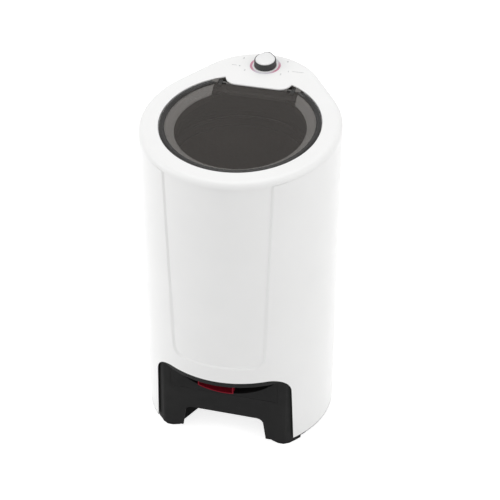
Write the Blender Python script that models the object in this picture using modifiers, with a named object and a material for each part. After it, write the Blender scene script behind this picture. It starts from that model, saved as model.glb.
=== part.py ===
# Spin dryer: an upright laundry spinner with a teardrop plan, a sloping deck and a smoked lid.
# Metres, +Z up, front towards -Y, origin on the floor under the middle of the bounding box.
# The machine is modelled about its spin axis, and one empty carries it to the box's middle.

import math

import bmesh
import bpy
from mathutils import Vector

# Clearances and cutter overruns
REST_GAP = 0.0003
SEAT_GAP = 0.001
OVERCUT = 0.010
MERGE = 0.00001

# Cabinet plan and height
BODY_RADIUS = 0.210
REAR_RADIUS = 0.146
REAR_OFFSET = 0.109
DECK_HEIGHT = 0.7287
DECK_TILT = math.radians(6.85)
EDGE_ROUND = 0.0125
WALL = 0.003
SHELL_FOOT = 0.023
SIDE_STEPS = 12
STRAIGHT_STEPS = 4
REAR_STEPS = 6
EDGE_STEPS = 3

# Recessed shield on the front wall, widths measured along the wall
SHIELD_TOP_HALF_WIDTH = 0.120
SHIELD_FOOT_HALF_WIDTH = 0.104
SHIELD_FOOT = 0.248
SHIELD_CORNER = 0.022
SHIELD_DEPTH = 0.003
SHIELD_SLOPE = 0.006
SHIELD_COLUMNS = 3
SHIELD_CORNER_STEPS = 3

# Cut-out of the cabinet round the front of the base
CUTOUT_TOP = 0.206
CUTOUT_HALF_WIDTH = 0.152
CUTOUT_FLARE = 0.005
CUTOUT_CORNER = 0.048
CORNER_STEPS = 6

# Lid's outline and hinge line, in the deck's own plane: a border of deck is left in front of it
LID_OFFSET = -0.004
DECK_BORDER = 0.0435
LID_RADIUS = BODY_RADIUS - DECK_BORDER
HINGE_INSET = 0.0285
HINGE_V = LID_OFFSET + LID_RADIUS - HINGE_INSET

# Mouth in the deck and the tongue over its rear edge, in the deck's own plane
MOUTH_GAP = 0.0017
MOUTH_RADIUS = LID_RADIUS + MOUTH_GAP
LEDGE_WIDTH = 0.0182
LEDGE_RADIUS = MOUTH_RADIUS - LEDGE_WIDTH
LEDGE_DROP = 0.0083
POCKET_DROP = 0.0223
POCKET_TURN = math.radians(38)
POCKET_STEP = math.radians(0.6)
DECK_THICKNESS = 0.003
DECK_LIP = 0.0012
LAP_DROP = 0.024
TONGUE_REACH = 0.009
TONGUE_FRONT = HINGE_V - TONGUE_REACH
TONGUE_INSET = 0.094
TONGUE_HALF_WIDTH = LID_RADIUS - TONGUE_INSET
TONGUE_CORNER = 0.028

# Lid, in the deck's plane
LID_BEAD = 0.0085
LID_BEAD_TOP = -0.0005
LID_BEAD_DEPTH = 0.0075
LID_BEAD_ROUND = 0.003
LID_PLATE_TOP = -0.003
LID_PLATE = 0.0025
HINGE_W = -0.007
REAR_EDGE_GAP = 0.010
LID_REAR = HINGE_V - REAR_EDGE_GAP
PIN_RADIUS = 0.0025
EAR_WIDTH = 0.008
EAR_RADIUS = 0.005
EAR_FRONT = 0.016

# Base moulding
BASE_INSET = 0.005
BASE_WALL = 0.004
BASE_TOP = 0.226
SEAT_STEP = 0.210
SEAT_INSET = 0.045
SEAT_RADIUS = BODY_RADIUS - SEAT_INSET
SKIRT_FOOT = 0.024
LEG_FOOT = 0.014
FLOOR_TOP = 0.073
FRONT_PLANE = -0.149
FRONT_CORNER = 0.012
LIP_UNDERSIDE = 0.1906
ARCH_TOP = 0.069
ARCH_HALF_WIDTH = 0.090
ARCH_FLARE = 0.007
ARCH_CORNER = 0.015
ARCH_TURN = -0.078
POCKET_NARROW = 0.066
ALCOVE_FOOT = 0.1275
ALCOVE_ARC = 0.160
ALCOVE_WIDTH = 0.118
ALCOVE_CEILING = 0.186
ALCOVE_DEPTH = 0.034
ALCOVE_STEPS = 20

# Spin axis parts
TUB_ROOM = 0.028
TUB_RADIUS = BODY_RADIUS - TUB_ROOM
TUB_WALL = 0.003
TUB_DROP = 0.0737
TUB_TOP = DECK_HEIGHT - TUB_DROP
TUB_FLANGE = 0.006
TUB_CORNER = 0.012
COLLAR_RADIUS = 0.030
COLLAR_RISE = 0.024
BASKET_ROOM = 0.024
BASKET_RADIUS = TUB_RADIUS - BASKET_ROOM
BASKET_WALL = 0.0018
BASKET_FLOOR = 0.262
BASKET_DROP = 0.015
BASKET_TOP = TUB_TOP - BASKET_DROP
SHAFT_RADIUS = 0.007
SHAFT_FOOT = 0.084

# Motor
MOTOR_RADIUS = 0.062
MOTOR_WALL = 0.004
MOTOR_FOOT = 0.111
MOTOR_TOP = 0.2047
CAP_HEIGHT = 0.0185
BEARING_RADIUS = 0.016
BEARING_HEIGHT = 0.010
BRACKET_THICKNESS = 0.003
MOUNT_CIRCLE = 0.110

# Timer, in the deck's plane
KNOB_INSET = 0.0495
KNOB_V = REAR_OFFSET + REAR_RADIUS - KNOB_INSET
KNOB_RADIUS = 0.0243
KNOB_HEIGHT = 0.0205

# Cord gland on the rear wall
GLAND_HEIGHT = 0.090
GLAND_FLANGE = 0.0025

COLLECTION_NAME = "spin_dryer"
CUTTER_COLLECTION_NAME = "spin_dryer_cutters"
UP = Vector((0, 0, 1))
TANGENT = math.pi / 2 + math.asin((BODY_RADIUS - REAR_RADIUS) / REAR_OFFSET)


def clear_scene():
    for obj in list(bpy.data.objects):
        bpy.data.objects.remove(obj, do_unlink=True)
    for name in (COLLECTION_NAME, CUTTER_COLLECTION_NAME):
        collection = bpy.data.collections.get(name) or bpy.data.collections.new(name)
        if name not in bpy.context.scene.collection.children:
            bpy.context.scene.collection.children.link(collection)


def material(name, colour, roughness, metallic=0.0, alpha=1.0):
    result = bpy.data.materials.new(name)
    result.use_nodes = True
    shader = result.node_tree.nodes["Principled BSDF"]
    shader.inputs["Base Color"].default_value = (*colour, 1.0)
    shader.inputs["Roughness"].default_value = roughness
    shader.inputs["Metallic"].default_value = metallic
    shader.inputs["Alpha"].default_value = alpha
    result.diffuse_color = (*colour, alpha)
    return result


def empty(name, parent=None, location=(0, 0, 0), rotation=(0, 0, 0)):
    obj = bpy.data.objects.new(name, None)
    bpy.data.collections[COLLECTION_NAME].objects.link(obj)
    obj.parent = parent
    obj.location = location
    obj.rotation_euler = rotation
    return obj


def add_object(name, bm, parent, finish=None, cutter=False):
    bmesh.ops.recalc_face_normals(bm, faces=bm.faces)
    if bm.calc_volume(signed=True) < 0:
        bmesh.ops.reverse_faces(bm, faces=bm.faces)
    mesh = bpy.data.meshes.new(name)
    bm.to_mesh(mesh)
    bm.free()
    obj = bpy.data.objects.new(name, mesh)
    obj.parent = parent
    if cutter:
        bpy.data.collections[CUTTER_COLLECTION_NAME].objects.link(obj)
        obj.hide_render = True
        obj.display_type = "WIRE"
    else:
        bpy.data.collections[COLLECTION_NAME].objects.link(obj)
        mesh.shade_smooth()
        mesh.set_sharp_from_angle(angle=math.radians(30))
    if finish:
        mesh.materials.append(finish)
    return obj


def boolean(obj, tool, operation="DIFFERENCE"):
    modifier = obj.modifiers.new(operation.lower() + "_" + tool.name, "BOOLEAN")
    modifier.operation = operation
    modifier.solver = "EXACT"
    modifier.object = tool
    return obj


def mirrored(half):
    # A closed outline from its right half, which starts and ends on the middle plane
    return half + [Vector((-p.x, *p[1:])) for p in reversed(half[1:-1])]


def loft(name, rings, parent, finish=None, capped=False, cutter=False):
    # Rings of equal count joined in order: closed on itself, or capped at both ends
    bm = bmesh.new()
    loops = [[bm.verts.new(p) for p in ring] for ring in rings]
    pairs = list(zip(loops, loops[1:]))
    if capped:
        bm.faces.new(loops[0])
        bm.faces.new(loops[-1])
    else:
        pairs.append((loops[-1], loops[0]))
    for near, far in pairs:
        for k in range(len(near)):
            bm.faces.new((near[k - 1], near[k], far[k], far[k - 1]))
    return add_object(name, bm, parent, finish, cutter)


def prism(name, outline, start, depth, parent, finish=None, axis="Z", cutter=False):
    # A flat outline of (a, b) pairs, extruded along an axis from start by depth
    place = {
        "X": lambda a, b: Vector((start, a, b)),
        "Y": lambda a, b: Vector((a, start, b)),
        "Z": lambda a, b: Vector((a, b, start)),
    }[axis]
    way = {"X": Vector((1, 0, 0)), "Y": Vector((0, 1, 0)), "Z": UP}[axis]
    bm = bmesh.new()
    face = bm.faces.new([bm.verts.new(place(p[0], p[1])) for p in outline])
    grown = bmesh.ops.extrude_face_region(bm, geom=[face])
    moved = [item for item in grown["geom"] if isinstance(item, bmesh.types.BMVert)]
    bmesh.ops.translate(bm, verts=moved, vec=way * depth)
    return add_object(name, bm, parent, finish, cutter)


def box(name, low, high, parent, finish=None, cutter=False):
    bm = bmesh.new()
    bmesh.ops.create_cube(bm, size=1.0)
    for vert in bm.verts:
        vert.co = Vector([(a + b) / 2 + c * (b - a) for a, b, c in zip(low, high, vert.co)])
    return add_object(name, bm, parent, finish, cutter)


def cylinder(name, centre, radius, length, parent, finish=None, axis="Z", segments=16, cutter=False):
    # A round bar of the given length, its middle at centre
    bm = bmesh.new()
    bmesh.ops.create_cone(bm, cap_ends=True, segments=segments, radius1=radius, radius2=radius, depth=length)
    turn = {"X": Vector((1, 0, 0)), "Y": Vector((0, 1, 0)), "Z": UP}[axis]
    matrix = UP.rotation_difference(turn).to_matrix()
    for vert in bm.verts:
        vert.co = matrix @ vert.co + Vector(centre)
    return add_object(name, bm, parent, finish, cutter)


def turned(name, profile, parent, finish=None, segments=40, centre=(0, 0), cutter=False):
    # A closed (radius, height) profile, or one that starts and ends on the axis, swept by a Screw modifier
    closed = min(radius for radius, _ in profile) > 0
    area = sum(a[0] * b[1] - b[0] * a[1] for a, b in zip(profile, profile[1:] + profile[:1]))
    points = profile[::-1] if area > 0 else profile
    mesh = bpy.data.meshes.new(name)
    edges = [(k, k + 1) for k in range(len(points) - 1)]
    if closed:
        edges.append((len(points) - 1, 0))
    mesh.from_pydata([(r, 0, z) for r, z in points], edges, [])
    obj = bpy.data.objects.new(name, mesh)
    obj.parent = parent
    obj.location = (centre[0], centre[1], 0)
    screw = obj.modifiers.new("turn", "SCREW")
    screw.steps = segments
    screw.render_steps = segments
    screw.use_merge_vertices = True
    screw.merge_threshold = MERGE
    screw.use_smooth_shade = True
    group = CUTTER_COLLECTION_NAME if cutter else COLLECTION_NAME
    bpy.data.collections[group].objects.link(obj)
    if cutter:
        obj.hide_render = True
        obj.display_type = "WIRE"
    if finish:
        mesh.materials.append(finish)
    return obj


def smooth_route(points, count):
    # Evenly numbered points on a Catmull-Rom curve through the route's own points
    knots = [Vector(p) for p in points]
    knots = [2 * knots[0] - knots[1]] + knots + [2 * knots[-1] - knots[-2]]
    spans = len(knots) - 3
    result = []
    for k in range(count):
        place = k / (count - 1) * spans
        i = min(int(place), spans - 1)
        t = place - i
        a, b, c, d = knots[i:i + 4]
        result.append(0.5 * (2 * b + (c - a) * t + (2 * a - 5 * b + 4 * c - d) * t ** 2
                             + (3 * b - a - 3 * c + d) * t ** 3))
    return result


def tube(name, points, radius, parent, finish, resolution=2):
    curve = bpy.data.curves.new(name, "CURVE")
    curve.dimensions = "3D"
    curve.bevel_depth = radius
    curve.bevel_resolution = resolution
    curve.use_fill_caps = True
    spline = curve.splines.new("POLY")
    spline.points.add(len(points) - 1)
    for point, place in zip(spline.points, points):
        point.co = (*place, 1.0)
    obj = bpy.data.objects.new(name, curve)
    obj.parent = parent
    curve.materials.append(finish)
    bpy.data.collections[COLLECTION_NAME].objects.link(obj)
    return obj


def arc(centre, radius, start, stop, steps):
    # Points of an arc as (a, b) pairs, angles in degrees
    turns = [math.radians(start + (stop - start) * k / steps) for k in range(steps + 1)]
    return [(centre[0] + radius * math.cos(t), centre[1] + radius * math.sin(t)) for t in turns]


# Plan outline: a round front and a smaller round back joined by straight sides

def hull_point(normal_angle, rear, inset):
    # rear is the share of the way from the front circle (0) to the rear circle (1)
    normal = Vector((math.sin(normal_angle), -math.cos(normal_angle), 0))
    radius = BODY_RADIUS + (REAR_RADIUS - BODY_RADIUS) * rear
    return Vector((0, REAR_OFFSET * rear, 0)) + normal * (radius - inset)


def column_normals(shield_half_width):
    # Right half of the wall's columns, as (normal angle, rear share) pairs, from the front to the back
    inner = (shield_half_width - SHIELD_SLOPE / 2) / BODY_RADIUS
    outer = (shield_half_width + SHIELD_SLOPE / 2) / BODY_RADIUS
    front = [(inner * k / SHIELD_COLUMNS, 0) for k in range(SHIELD_COLUMNS + 1)]
    side = [(outer + (TANGENT - outer) * k / SIDE_STEPS, 0) for k in range(SIDE_STEPS + 1)]
    straight = [(TANGENT, k / STRAIGHT_STEPS) for k in range(1, STRAIGHT_STEPS)]
    rear = [(TANGENT + (math.pi - TANGENT) * k / REAR_STEPS, 1) for k in range(REAR_STEPS + 1)]
    return front + side + straight + rear


def deck_level(y, drop):
    # Height at y of the plane that lies straight below the deck by drop
    return DECK_HEIGHT + y * math.tan(DECK_TILT) - drop


def deck_point(x, v, w):
    # A point of the deck's own frame, in the machine's frame
    return Vector((x, v * math.cos(DECK_TILT) - w * math.sin(DECK_TILT),
                   DECK_HEIGHT + v * math.sin(DECK_TILT) + w * math.cos(DECK_TILT)))


def shield_half_width(height):
    seam = deck_level(-BODY_RADIUS, EDGE_ROUND)
    share = max(height - SHIELD_FOOT, 0) / (seam - SHIELD_FOOT)
    rise = min(max(height - SHIELD_FOOT, 0), SHIELD_CORNER)
    loss = SHIELD_CORNER - math.sqrt(SHIELD_CORNER ** 2 - (SHIELD_CORNER - rise) ** 2)
    return SHIELD_FOOT_HALF_WIDTH + (SHIELD_TOP_HALF_WIDTH - SHIELD_FOOT_HALF_WIDTH) * share - loss


def wall_ring(inset, height=None):
    # One ring of the cabinet wall with the shield's recess; without a height it follows the seam
    seam = deck_level(-BODY_RADIUS, EDGE_ROUND)
    level = seam if height is None else height
    half = []
    for k, (angle, rear) in enumerate(column_normals(shield_half_width(level))):
        recess = SHIELD_DEPTH if k <= SHIELD_COLUMNS and level >= SHIELD_FOOT else 0
        point = hull_point(angle, rear, inset + recess)
        point.z = deck_level(point.y, EDGE_ROUND + REST_GAP) if height is None else height
        half.append(point)
    return mirrored(half)


def build_cabinet_shell(machine, white):
    corner = [SHIELD_FOOT + SHIELD_CORNER * (1 - math.cos(math.pi / 2 * k / SHIELD_CORNER_STEPS))
              for k in range(1, SHIELD_CORNER_STEPS + 1)]
    levels = [SHELL_FOOT, SHIELD_FOOT - SHIELD_SLOPE, SHIELD_FOOT] + corner + [None]
    outer = [wall_ring(0, level) for level in levels]
    inner = [wall_ring(WALL, level) for level in reversed(levels)]
    shell = loft("cabinet_shell", outer + inner, machine, white)
    half = [(0, CUTOUT_TOP)]
    half += arc((CUTOUT_HALF_WIDTH - CUTOUT_CORNER, CUTOUT_TOP - CUTOUT_CORNER), CUTOUT_CORNER,
                90, 0, CORNER_STEPS)
    half += [(CUTOUT_HALF_WIDTH + CUTOUT_FLARE, SHELL_FOOT - OVERCUT)]
    outline = half + [(-a, b) for a, b in reversed(half[1:])]
    cutter = prism("cutter_front_opening", outline, -BODY_RADIUS - OVERCUT, BODY_RADIUS, machine,
                   axis="Y", cutter=True)
    boolean(shell, cutter)
    return shell


# Top cover: deck, rounded edge, tongue and the ledge that the lid rests over

def tongue_outline(offset=0.0):
    # Right half of the tongue, from where it leaves the mouth's circle to its middle
    radius = TONGUE_CORNER + offset
    centre = (TONGUE_HALF_WIDTH - TONGUE_CORNER, TONGUE_FRONT + TONGUE_CORNER)
    corner = arc(centre, radius, -22, -90, 3)
    return corner + [(0, TONGUE_FRONT - offset)]


def mouth_angles():
    # Polar angle about the lid's middle of each wall column, the pocket's edge and the tongue's columns
    normals = column_normals(SHIELD_TOP_HALF_WIDTH)
    meet = math.pi - math.asin(TONGUE_HALF_WIDTH / MOUTH_RADIUS)
    pocket = math.pi - POCKET_TURN
    free = []
    for angle, rear in normals[:-REAR_STEPS - STRAIGHT_STEPS]:
        point = hull_point(angle, rear, EDGE_ROUND)
        free.append(math.atan2(point.x, -(point.y - LID_OFFSET)))
    edge = [(free[-1] + pocket) / 2, pocket - POCKET_STEP, pocket, (pocket + meet) / 2]
    return free + edge + [meet + (math.pi - meet) * k / (REAR_STEPS - 1) for k in range(REAR_STEPS)]


def circle_ring(radius, drop, pocket_drop=None):
    half = []
    for angle in mouth_angles():
        x = radius * math.sin(angle)
        v = LID_OFFSET - radius * math.cos(angle)
        in_pocket = angle > math.pi - POCKET_TURN - POCKET_STEP / 2
        w = -(pocket_drop if pocket_drop and in_pocket else drop)
        half.append(deck_point(x, v, w))
    return mirrored(half)


def mouth_ring(grow, drop):
    # The mouth with the tongue across its rear, widened by grow
    half = []
    angles = mouth_angles()
    for angle in angles[:-REAR_STEPS + 1]:
        radius = MOUTH_RADIUS + grow
        half.append(deck_point(radius * math.sin(angle), LID_OFFSET - radius * math.cos(angle), -drop))
    for x, v in tongue_outline(-grow):
        half.append(deck_point(x, v, -drop))
    return mirrored(half)


def seam_ring(inset, drop, follow_shield=False):
    half = []
    for k, (angle, rear) in enumerate(column_normals(SHIELD_TOP_HALF_WIDTH)):
        recess = SHIELD_DEPTH if follow_shield and k <= SHIELD_COLUMNS else 0
        point = hull_point(angle, rear, inset + recess)
        point.z = deck_level(point.y, drop)
        half.append(point)
    return mirrored(half)


def build_top_cover(machine, white):
    lap = WALL + REST_GAP
    ledge_under = LEDGE_DROP + DECK_THICKNESS
    pocket_under = POCKET_DROP + DECK_THICKNESS
    rings = []
    for k in range(EDGE_STEPS + 1):
        turn = math.pi / 2 * k / EDGE_STEPS
        rings.append(seam_ring(EDGE_ROUND * (1 - math.cos(turn)), EDGE_ROUND * (1 - math.sin(turn))))
    rings += [
        mouth_ring(DECK_LIP, 0),
        mouth_ring(0, DECK_LIP),
        mouth_ring(0, DECK_THICKNESS),
        circle_ring(MOUTH_RADIUS, DECK_THICKNESS + REST_GAP),
        circle_ring(MOUTH_RADIUS, LEDGE_DROP, POCKET_DROP),
        circle_ring(LEDGE_RADIUS, LEDGE_DROP, POCKET_DROP),
        circle_ring(LEDGE_RADIUS, ledge_under, pocket_under),
        circle_ring(MOUTH_RADIUS + DECK_THICKNESS, ledge_under, pocket_under),
        circle_ring(MOUTH_RADIUS + DECK_THICKNESS, DECK_THICKNESS + REST_GAP),
        seam_ring(EDGE_ROUND, DECK_THICKNESS + REST_GAP),
        seam_ring(lap + WALL, EDGE_ROUND - WALL, True),
        seam_ring(lap + WALL, LAP_DROP, True),
        seam_ring(lap, LAP_DROP, True),
        seam_ring(lap, EDGE_ROUND, True),
    ]
    return loft("top_cover", rings, machine, white)


# Splash ring and rubber sleeve between the mouth and the tub

RING_RIM_GAP = 0.0009
RING_RIM_RADIUS = LID_RADIUS - LID_BEAD - RING_RIM_GAP
RING_RIM_TOP = 0.0062
RING_SHELF_TOP = 0.0068
RING_SLOPE_WIDTH = 0.0135
RING_MOUTH_RADIUS = LEDGE_RADIUS - RING_SLOPE_WIDTH
RING_CONE_DROP = 0.0152
RING_SKIRT_DROP = 0.034
RING_THICKNESS = 0.0022
RING_CUT_SIDE = 0.0185
RING_CUT_HALF_WIDTH = TONGUE_HALF_WIDTH + RING_CUT_SIDE
RING_CUT_REACH = 0.044
RING_CUT_FRONT = HINGE_V - RING_CUT_REACH


def build_splash_ring(deck, white):
    rim_seat = LEDGE_DROP - REST_GAP
    hook = LEDGE_RADIUS - SEAT_GAP
    outer = RING_MOUTH_RADIUS + RING_THICKNESS
    slope = (RING_CONE_DROP - RING_SHELF_TOP) / (hook - RING_MOUTH_RADIUS)
    under = RING_THICKNESS * math.sqrt(1 + slope * slope)
    profile = [
        (RING_RIM_RADIUS, -RING_RIM_TOP), (RING_RIM_RADIUS, -rim_seat), (hook, -rim_seat),
        (hook, -RING_SHELF_TOP - under), (outer, -RING_CONE_DROP - under + RING_THICKNESS * slope),
        (outer, -RING_SKIRT_DROP), (RING_MOUTH_RADIUS, -RING_SKIRT_DROP), (RING_MOUTH_RADIUS, -RING_CONE_DROP),
        (hook, -RING_SHELF_TOP),
    ]
    ring = turned("splash_ring", profile, deck, white, 48, (0, LID_OFFSET))
    low = (-RING_CUT_HALF_WIDTH, RING_CUT_FRONT, -RING_SKIRT_DROP - OVERCUT)
    high = (RING_CUT_HALF_WIDTH, MOUTH_RADIUS, OVERCUT)
    boolean(ring, box("cutter_ring_rear", low, high, deck, cutter=True))
    return ring


SLEEVE_TOP_DROP = 0.027
SLEEVE_WALL = 0.0025
SLEEVE_SEGMENTS = 32
TUB_COVER_BORDER = 0.0095
TUB_COVER_INNER = RING_MOUTH_RADIUS + TUB_COVER_BORDER
TUB_COVER_RISE = 0.010


def build_mouth_sleeve(machine, rubber):
    top_radius = RING_MOUTH_RADIUS + RING_THICKNESS + SEAT_GAP
    foot_radius = TUB_COVER_INNER - SLEEVE_WALL
    foot = TUB_TOP + TUB_WALL + REST_GAP + TUB_COVER_RISE + REST_GAP

    def tilted(radius):
        turns = [2 * math.pi * k / SLEEVE_SEGMENTS for k in range(SLEEVE_SEGMENTS)]
        return [deck_point(radius * math.sin(t), LID_OFFSET - radius * math.cos(t), -SLEEVE_TOP_DROP)
                for t in turns]

    def level(radius):
        turns = [2 * math.pi * k / SLEEVE_SEGMENTS for k in range(SLEEVE_SEGMENTS)]
        return [Vector((radius * math.sin(t), -radius * math.cos(t), foot)) for t in turns]

    rings = [tilted(top_radius), tilted(top_radius + SLEEVE_WALL),
             level(foot_radius + SLEEVE_WALL), level(foot_radius)]
    return loft("mouth_sleeve", rings, machine, rubber)


# Base moulding: motor room, flat front with an arch, a lip and an alcove for the drain spout

LEG_INSET = 0.044
LEG_INNER = BODY_RADIUS - LEG_INSET
FRONT_LEG_ANGLES = (36, 60)
REAR_LEG_ANGLES = (25, 62)
REAR_LEG_INSET = 0.041
REAR_LEG_INNER = REAR_RADIUS - REAR_LEG_INSET
POCKET_WIDE = 0.095
PIPE_RADIUS = 0.010
PIPE_BORE = 0.0075
SPOUT_X = -0.018
SPOUT_PIPE_Y = -0.131
CABLE_PASS_Y = 0.2105
CABLE_PASS_RADIUS = 0.016
VENT_HALF_LENGTH = 0.022
VENT_HALF_WIDTH = 0.003
VENT_PITCH = 0.014
VENT_ROWS = 5
VENT_Y = 0.095


def plan_outline(inset, front_limit=None):
    normals = column_normals(SHIELD_FOOT_HALF_WIDTH - SHIELD_CORNER)
    points = [(p.x, p.y) for p in mirrored([hull_point(a, r, inset) for a, r in normals])]
    if front_limit is None:
        return points
    return [(x, max(y, front_limit)) for x, y in points]


def plan_ring(inset, height):
    return [Vector((x, y, height)) for x, y in plan_outline(inset)]


def sector(inner, outer, start, stop, middle_y, front, steps=4):
    # Plan outline of a ring sector, angles in degrees from the front (or from the back)
    way = -1 if front else 1
    turns = [math.radians(start + (stop - start) * k / steps) for k in range(steps + 1)]
    far = [(outer * math.sin(t), middle_y + way * outer * math.cos(t)) for t in turns]
    near = [(inner * math.sin(t), middle_y + way * inner * math.cos(t)) for t in reversed(turns)]
    return far + near


def both_sides(outline):
    return [outline, [(-x, y) for x, y in outline]]


def front_cut_outline():
    radius = BODY_RADIUS - BASE_INSET
    middle_y = FRONT_PLANE + FRONT_CORNER
    middle_x = math.sqrt((radius - FRONT_CORNER) ** 2 - middle_y ** 2)
    stop = math.degrees(math.atan2(middle_y, middle_x))
    half = [(0, FRONT_PLANE)] + arc((middle_x, middle_y), FRONT_CORNER, -90, stop, 3)
    reach = (radius + OVERCUT) / radius
    end = Vector((middle_x, middle_y)).normalized() * radius * reach
    half += [(end.x, end.y), (end.x, -radius - OVERCUT - OVERCUT), (0, -radius - OVERCUT - OVERCUT)]
    return half + [(-x, y) for x, y in reversed(half[1:-1])]


def pocket_outline(grow, reach=0):
    start = FRONT_PLANE + BASE_WALL + REST_GAP
    half = [(POCKET_WIDE + grow, start)]
    if reach:
        half.insert(0, (POCKET_WIDE + grow, start - reach))
    half += arc((0, ARCH_TURN), POCKET_NARROW + grow, 0, 90, 6)
    return half + [(-x, y) for x, y in reversed(half[:-1])]


def alcove_outline(grow, low_x, high_x, top):
    # Front view of a space whose floor follows the alcove's arc
    middle = (0, ALCOVE_FOOT + ALCOVE_ARC)
    radius = ALCOVE_ARC + grow
    start = -90 + math.degrees(math.asin(low_x / radius))
    stop = -90 + math.degrees(math.asin(high_x / radius))
    return arc(middle, radius, start, stop, ALCOVE_STEPS) + [(high_x, top), (low_x, top)]


def build_base_frame(machine, black):
    lap = WALL + REST_GAP
    rings = [plan_ring(BASE_INSET, LEG_FOOT), plan_ring(BASE_INSET, SEAT_STEP - SEAT_GAP),
             plan_ring(lap, SEAT_STEP), plan_ring(lap, BASE_TOP)]
    base = loft("base_frame", rings, machine, black, capped=True)

    below = LEG_FOOT - OVERCUT
    back = FRONT_PLANE + BASE_WALL
    inset = BASE_INSET + BASE_WALL
    radius = BODY_RADIUS - BASE_INSET
    front = prism("cutter_base_front", front_cut_outline(), below, LIP_UNDERSIDE - below, machine, cutter=True)
    room = prism("cutter_motor_room", plan_outline(inset, back), below, BASE_TOP - BASE_WALL - below,
                 machine, cutter=True)
    fore = [(x, y) for x, y in plan_outline(inset + SEAT_GAP) if y < -BASE_TOP / 2]
    over_lip = prism("cutter_over_lip", fore, LIP_UNDERSIDE + BASE_WALL,
                     BASE_TOP - BASE_WALL - LIP_UNDERSIDE - BASE_WALL - SEAT_GAP, machine, cutter=True)
    seat = cylinder("cutter_tub_seat", (0, 0, BASE_TOP), SEAT_RADIUS, BASE_WALL * 4, machine,
                    segments=40, cutter=True)

    legs = both_sides(sector(LEG_INNER, radius + OVERCUT, *FRONT_LEG_ANGLES, 0, True))
    legs += both_sides(sector(REAR_LEG_INNER, REAR_RADIUS, *REAR_LEG_ANGLES, REAR_OFFSET, False))
    tall = ARCH_TOP - (below - 2 * OVERCUT)
    legs = [prism("former_leg_%d" % k, outline, below - 2 * OVERCUT, tall, machine, cutter=True)
            for k, outline in enumerate(legs)]
    skirt = prism("cutter_skirt", plan_outline(-OVERCUT), below - OVERCUT, SKIRT_FOOT - below + OVERCUT,
                  machine, cutter=True)
    keep = box("former_front_feet", (-radius, FRONT_PLANE - OVERCUT, below - 2 * OVERCUT),
               (radius, back + OVERCUT, SKIRT_FOOT + OVERCUT), machine, cutter=True)
    boolean(skirt, keep)
    boolean(room, skirt, "UNION")
    for leg in legs:
        boolean(room, leg)

    half = [(0, ARCH_TOP)]
    half += arc((ARCH_HALF_WIDTH - ARCH_CORNER, ARCH_TOP - ARCH_CORNER), ARCH_CORNER, 90, 0, 4)
    half += [(ARCH_HALF_WIDTH + ARCH_FLARE, below)]
    arch = prism("cutter_arch", half + [(-a, b) for a, b in reversed(half[1:])], FRONT_PLANE - OVERCUT,
                 OVERCUT * 2 + BASE_WALL, machine, axis="Y", cutter=True)
    side = ALCOVE_WIDTH + BASE_WALL + REST_GAP
    niche = box("cutter_spout_niche", (-side, FRONT_PLANE - OVERCUT, ALCOVE_FOOT - BASE_WALL - REST_GAP),
                (side, back + OVERCUT, LIP_UNDERSIDE), machine, cutter=True)
    cable = cylinder("cutter_cable_pass", ((CABLE_X + HARNESS_X) / 2, CABLE_PASS_Y, BASE_TOP),
                     CABLE_PASS_RADIUS, BASE_WALL * 4, machine, cutter=True)
    gland = cylinder("cutter_gland_base", (0, REAR_OFFSET + REAR_RADIUS, GLAND_HEIGHT),
                     GLAND_RADIUS + SEAT_GAP, OVERCUT * 4, machine, axis="Y", cutter=True)
    pipe = cylinder("cutter_spout_pipe", (SPOUT_X, SPOUT_PIPE_Y, LIP_UNDERSIDE), PIPE_RADIUS + SEAT_GAP,
                    BASE_WALL * 6, machine, cutter=True)
    for tool in (front, room, over_lip, seat, arch, niche, cable, gland):
        boolean(base, tool)
    build_base_floor(machine, black, inset, back)
    build_base_arch(machine, black)
    build_spout_housing(machine, black, pipe)
    return base


def build_base_floor(machine, black, inset, back):
    # Floor pan of the motor room, on the legs and on the arch's wall
    foot = ARCH_TOP + REST_GAP
    pan = prism("base_floor", plan_outline(inset + REST_GAP, back + REST_GAP), foot, FLOOR_TOP - foot,
                machine, black)
    for row in range(VENT_ROWS):
        y = VENT_Y + row * VENT_PITCH
        vent = box("cutter_vent_%d" % row, (-VENT_HALF_LENGTH, y - VENT_HALF_WIDTH, foot - OVERCUT),
                   (VENT_HALF_LENGTH, y + VENT_HALF_WIDTH, FLOOR_TOP + OVERCUT), machine, cutter=True)
        boolean(pan, vent)
    return pan


def build_base_arch(machine, black):
    # Wall round the room for the basin, behind the arch
    wall = prism("base_arch", pocket_outline(BASE_WALL), SKIRT_FOOT, ARCH_TOP - SKIRT_FOOT, machine, black)
    pocket = prism("cutter_pocket", pocket_outline(0, OVERCUT), SKIRT_FOOT - OVERCUT,
                   ARCH_TOP - SKIRT_FOOT + 2 * OVERCUT, machine, cutter=True)
    return boolean(wall, pocket)


def build_spout_housing(machine, black, pipe):
    # Housing of the alcove, flush with the base's front and close under the lip
    side = ALCOVE_WIDTH + BASE_WALL
    housing = box("spout_housing", (-side, FRONT_PLANE, ALCOVE_FOOT - BASE_WALL),
                  (side, FRONT_PLANE + ALCOVE_DEPTH + BASE_WALL, LIP_UNDERSIDE - REST_GAP), machine, black)
    alcove = prism("cutter_alcove", alcove_outline(0, -ALCOVE_WIDTH, ALCOVE_WIDTH, ALCOVE_CEILING),
                   FRONT_PLANE - OVERCUT, OVERCUT + ALCOVE_DEPTH, machine, axis="Y", cutter=True)
    boolean(housing, alcove)
    return boolean(housing, pipe)


# Rubber foot pads under the four legs

PAD_INSET = 0.006
PAD_INNER = LEG_INNER + PAD_INSET
PAD_OUTER = BODY_RADIUS - BASE_INSET - PAD_INSET
PAD_ANGLES = (38, 57)
PAD_FRONT = -0.1415
REAR_PAD_ANGLES = (30, 57)
REAR_PAD_INNER = REAR_RADIUS - 0.034
REAR_PAD_OUTER = REAR_RADIUS - 0.009


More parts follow.
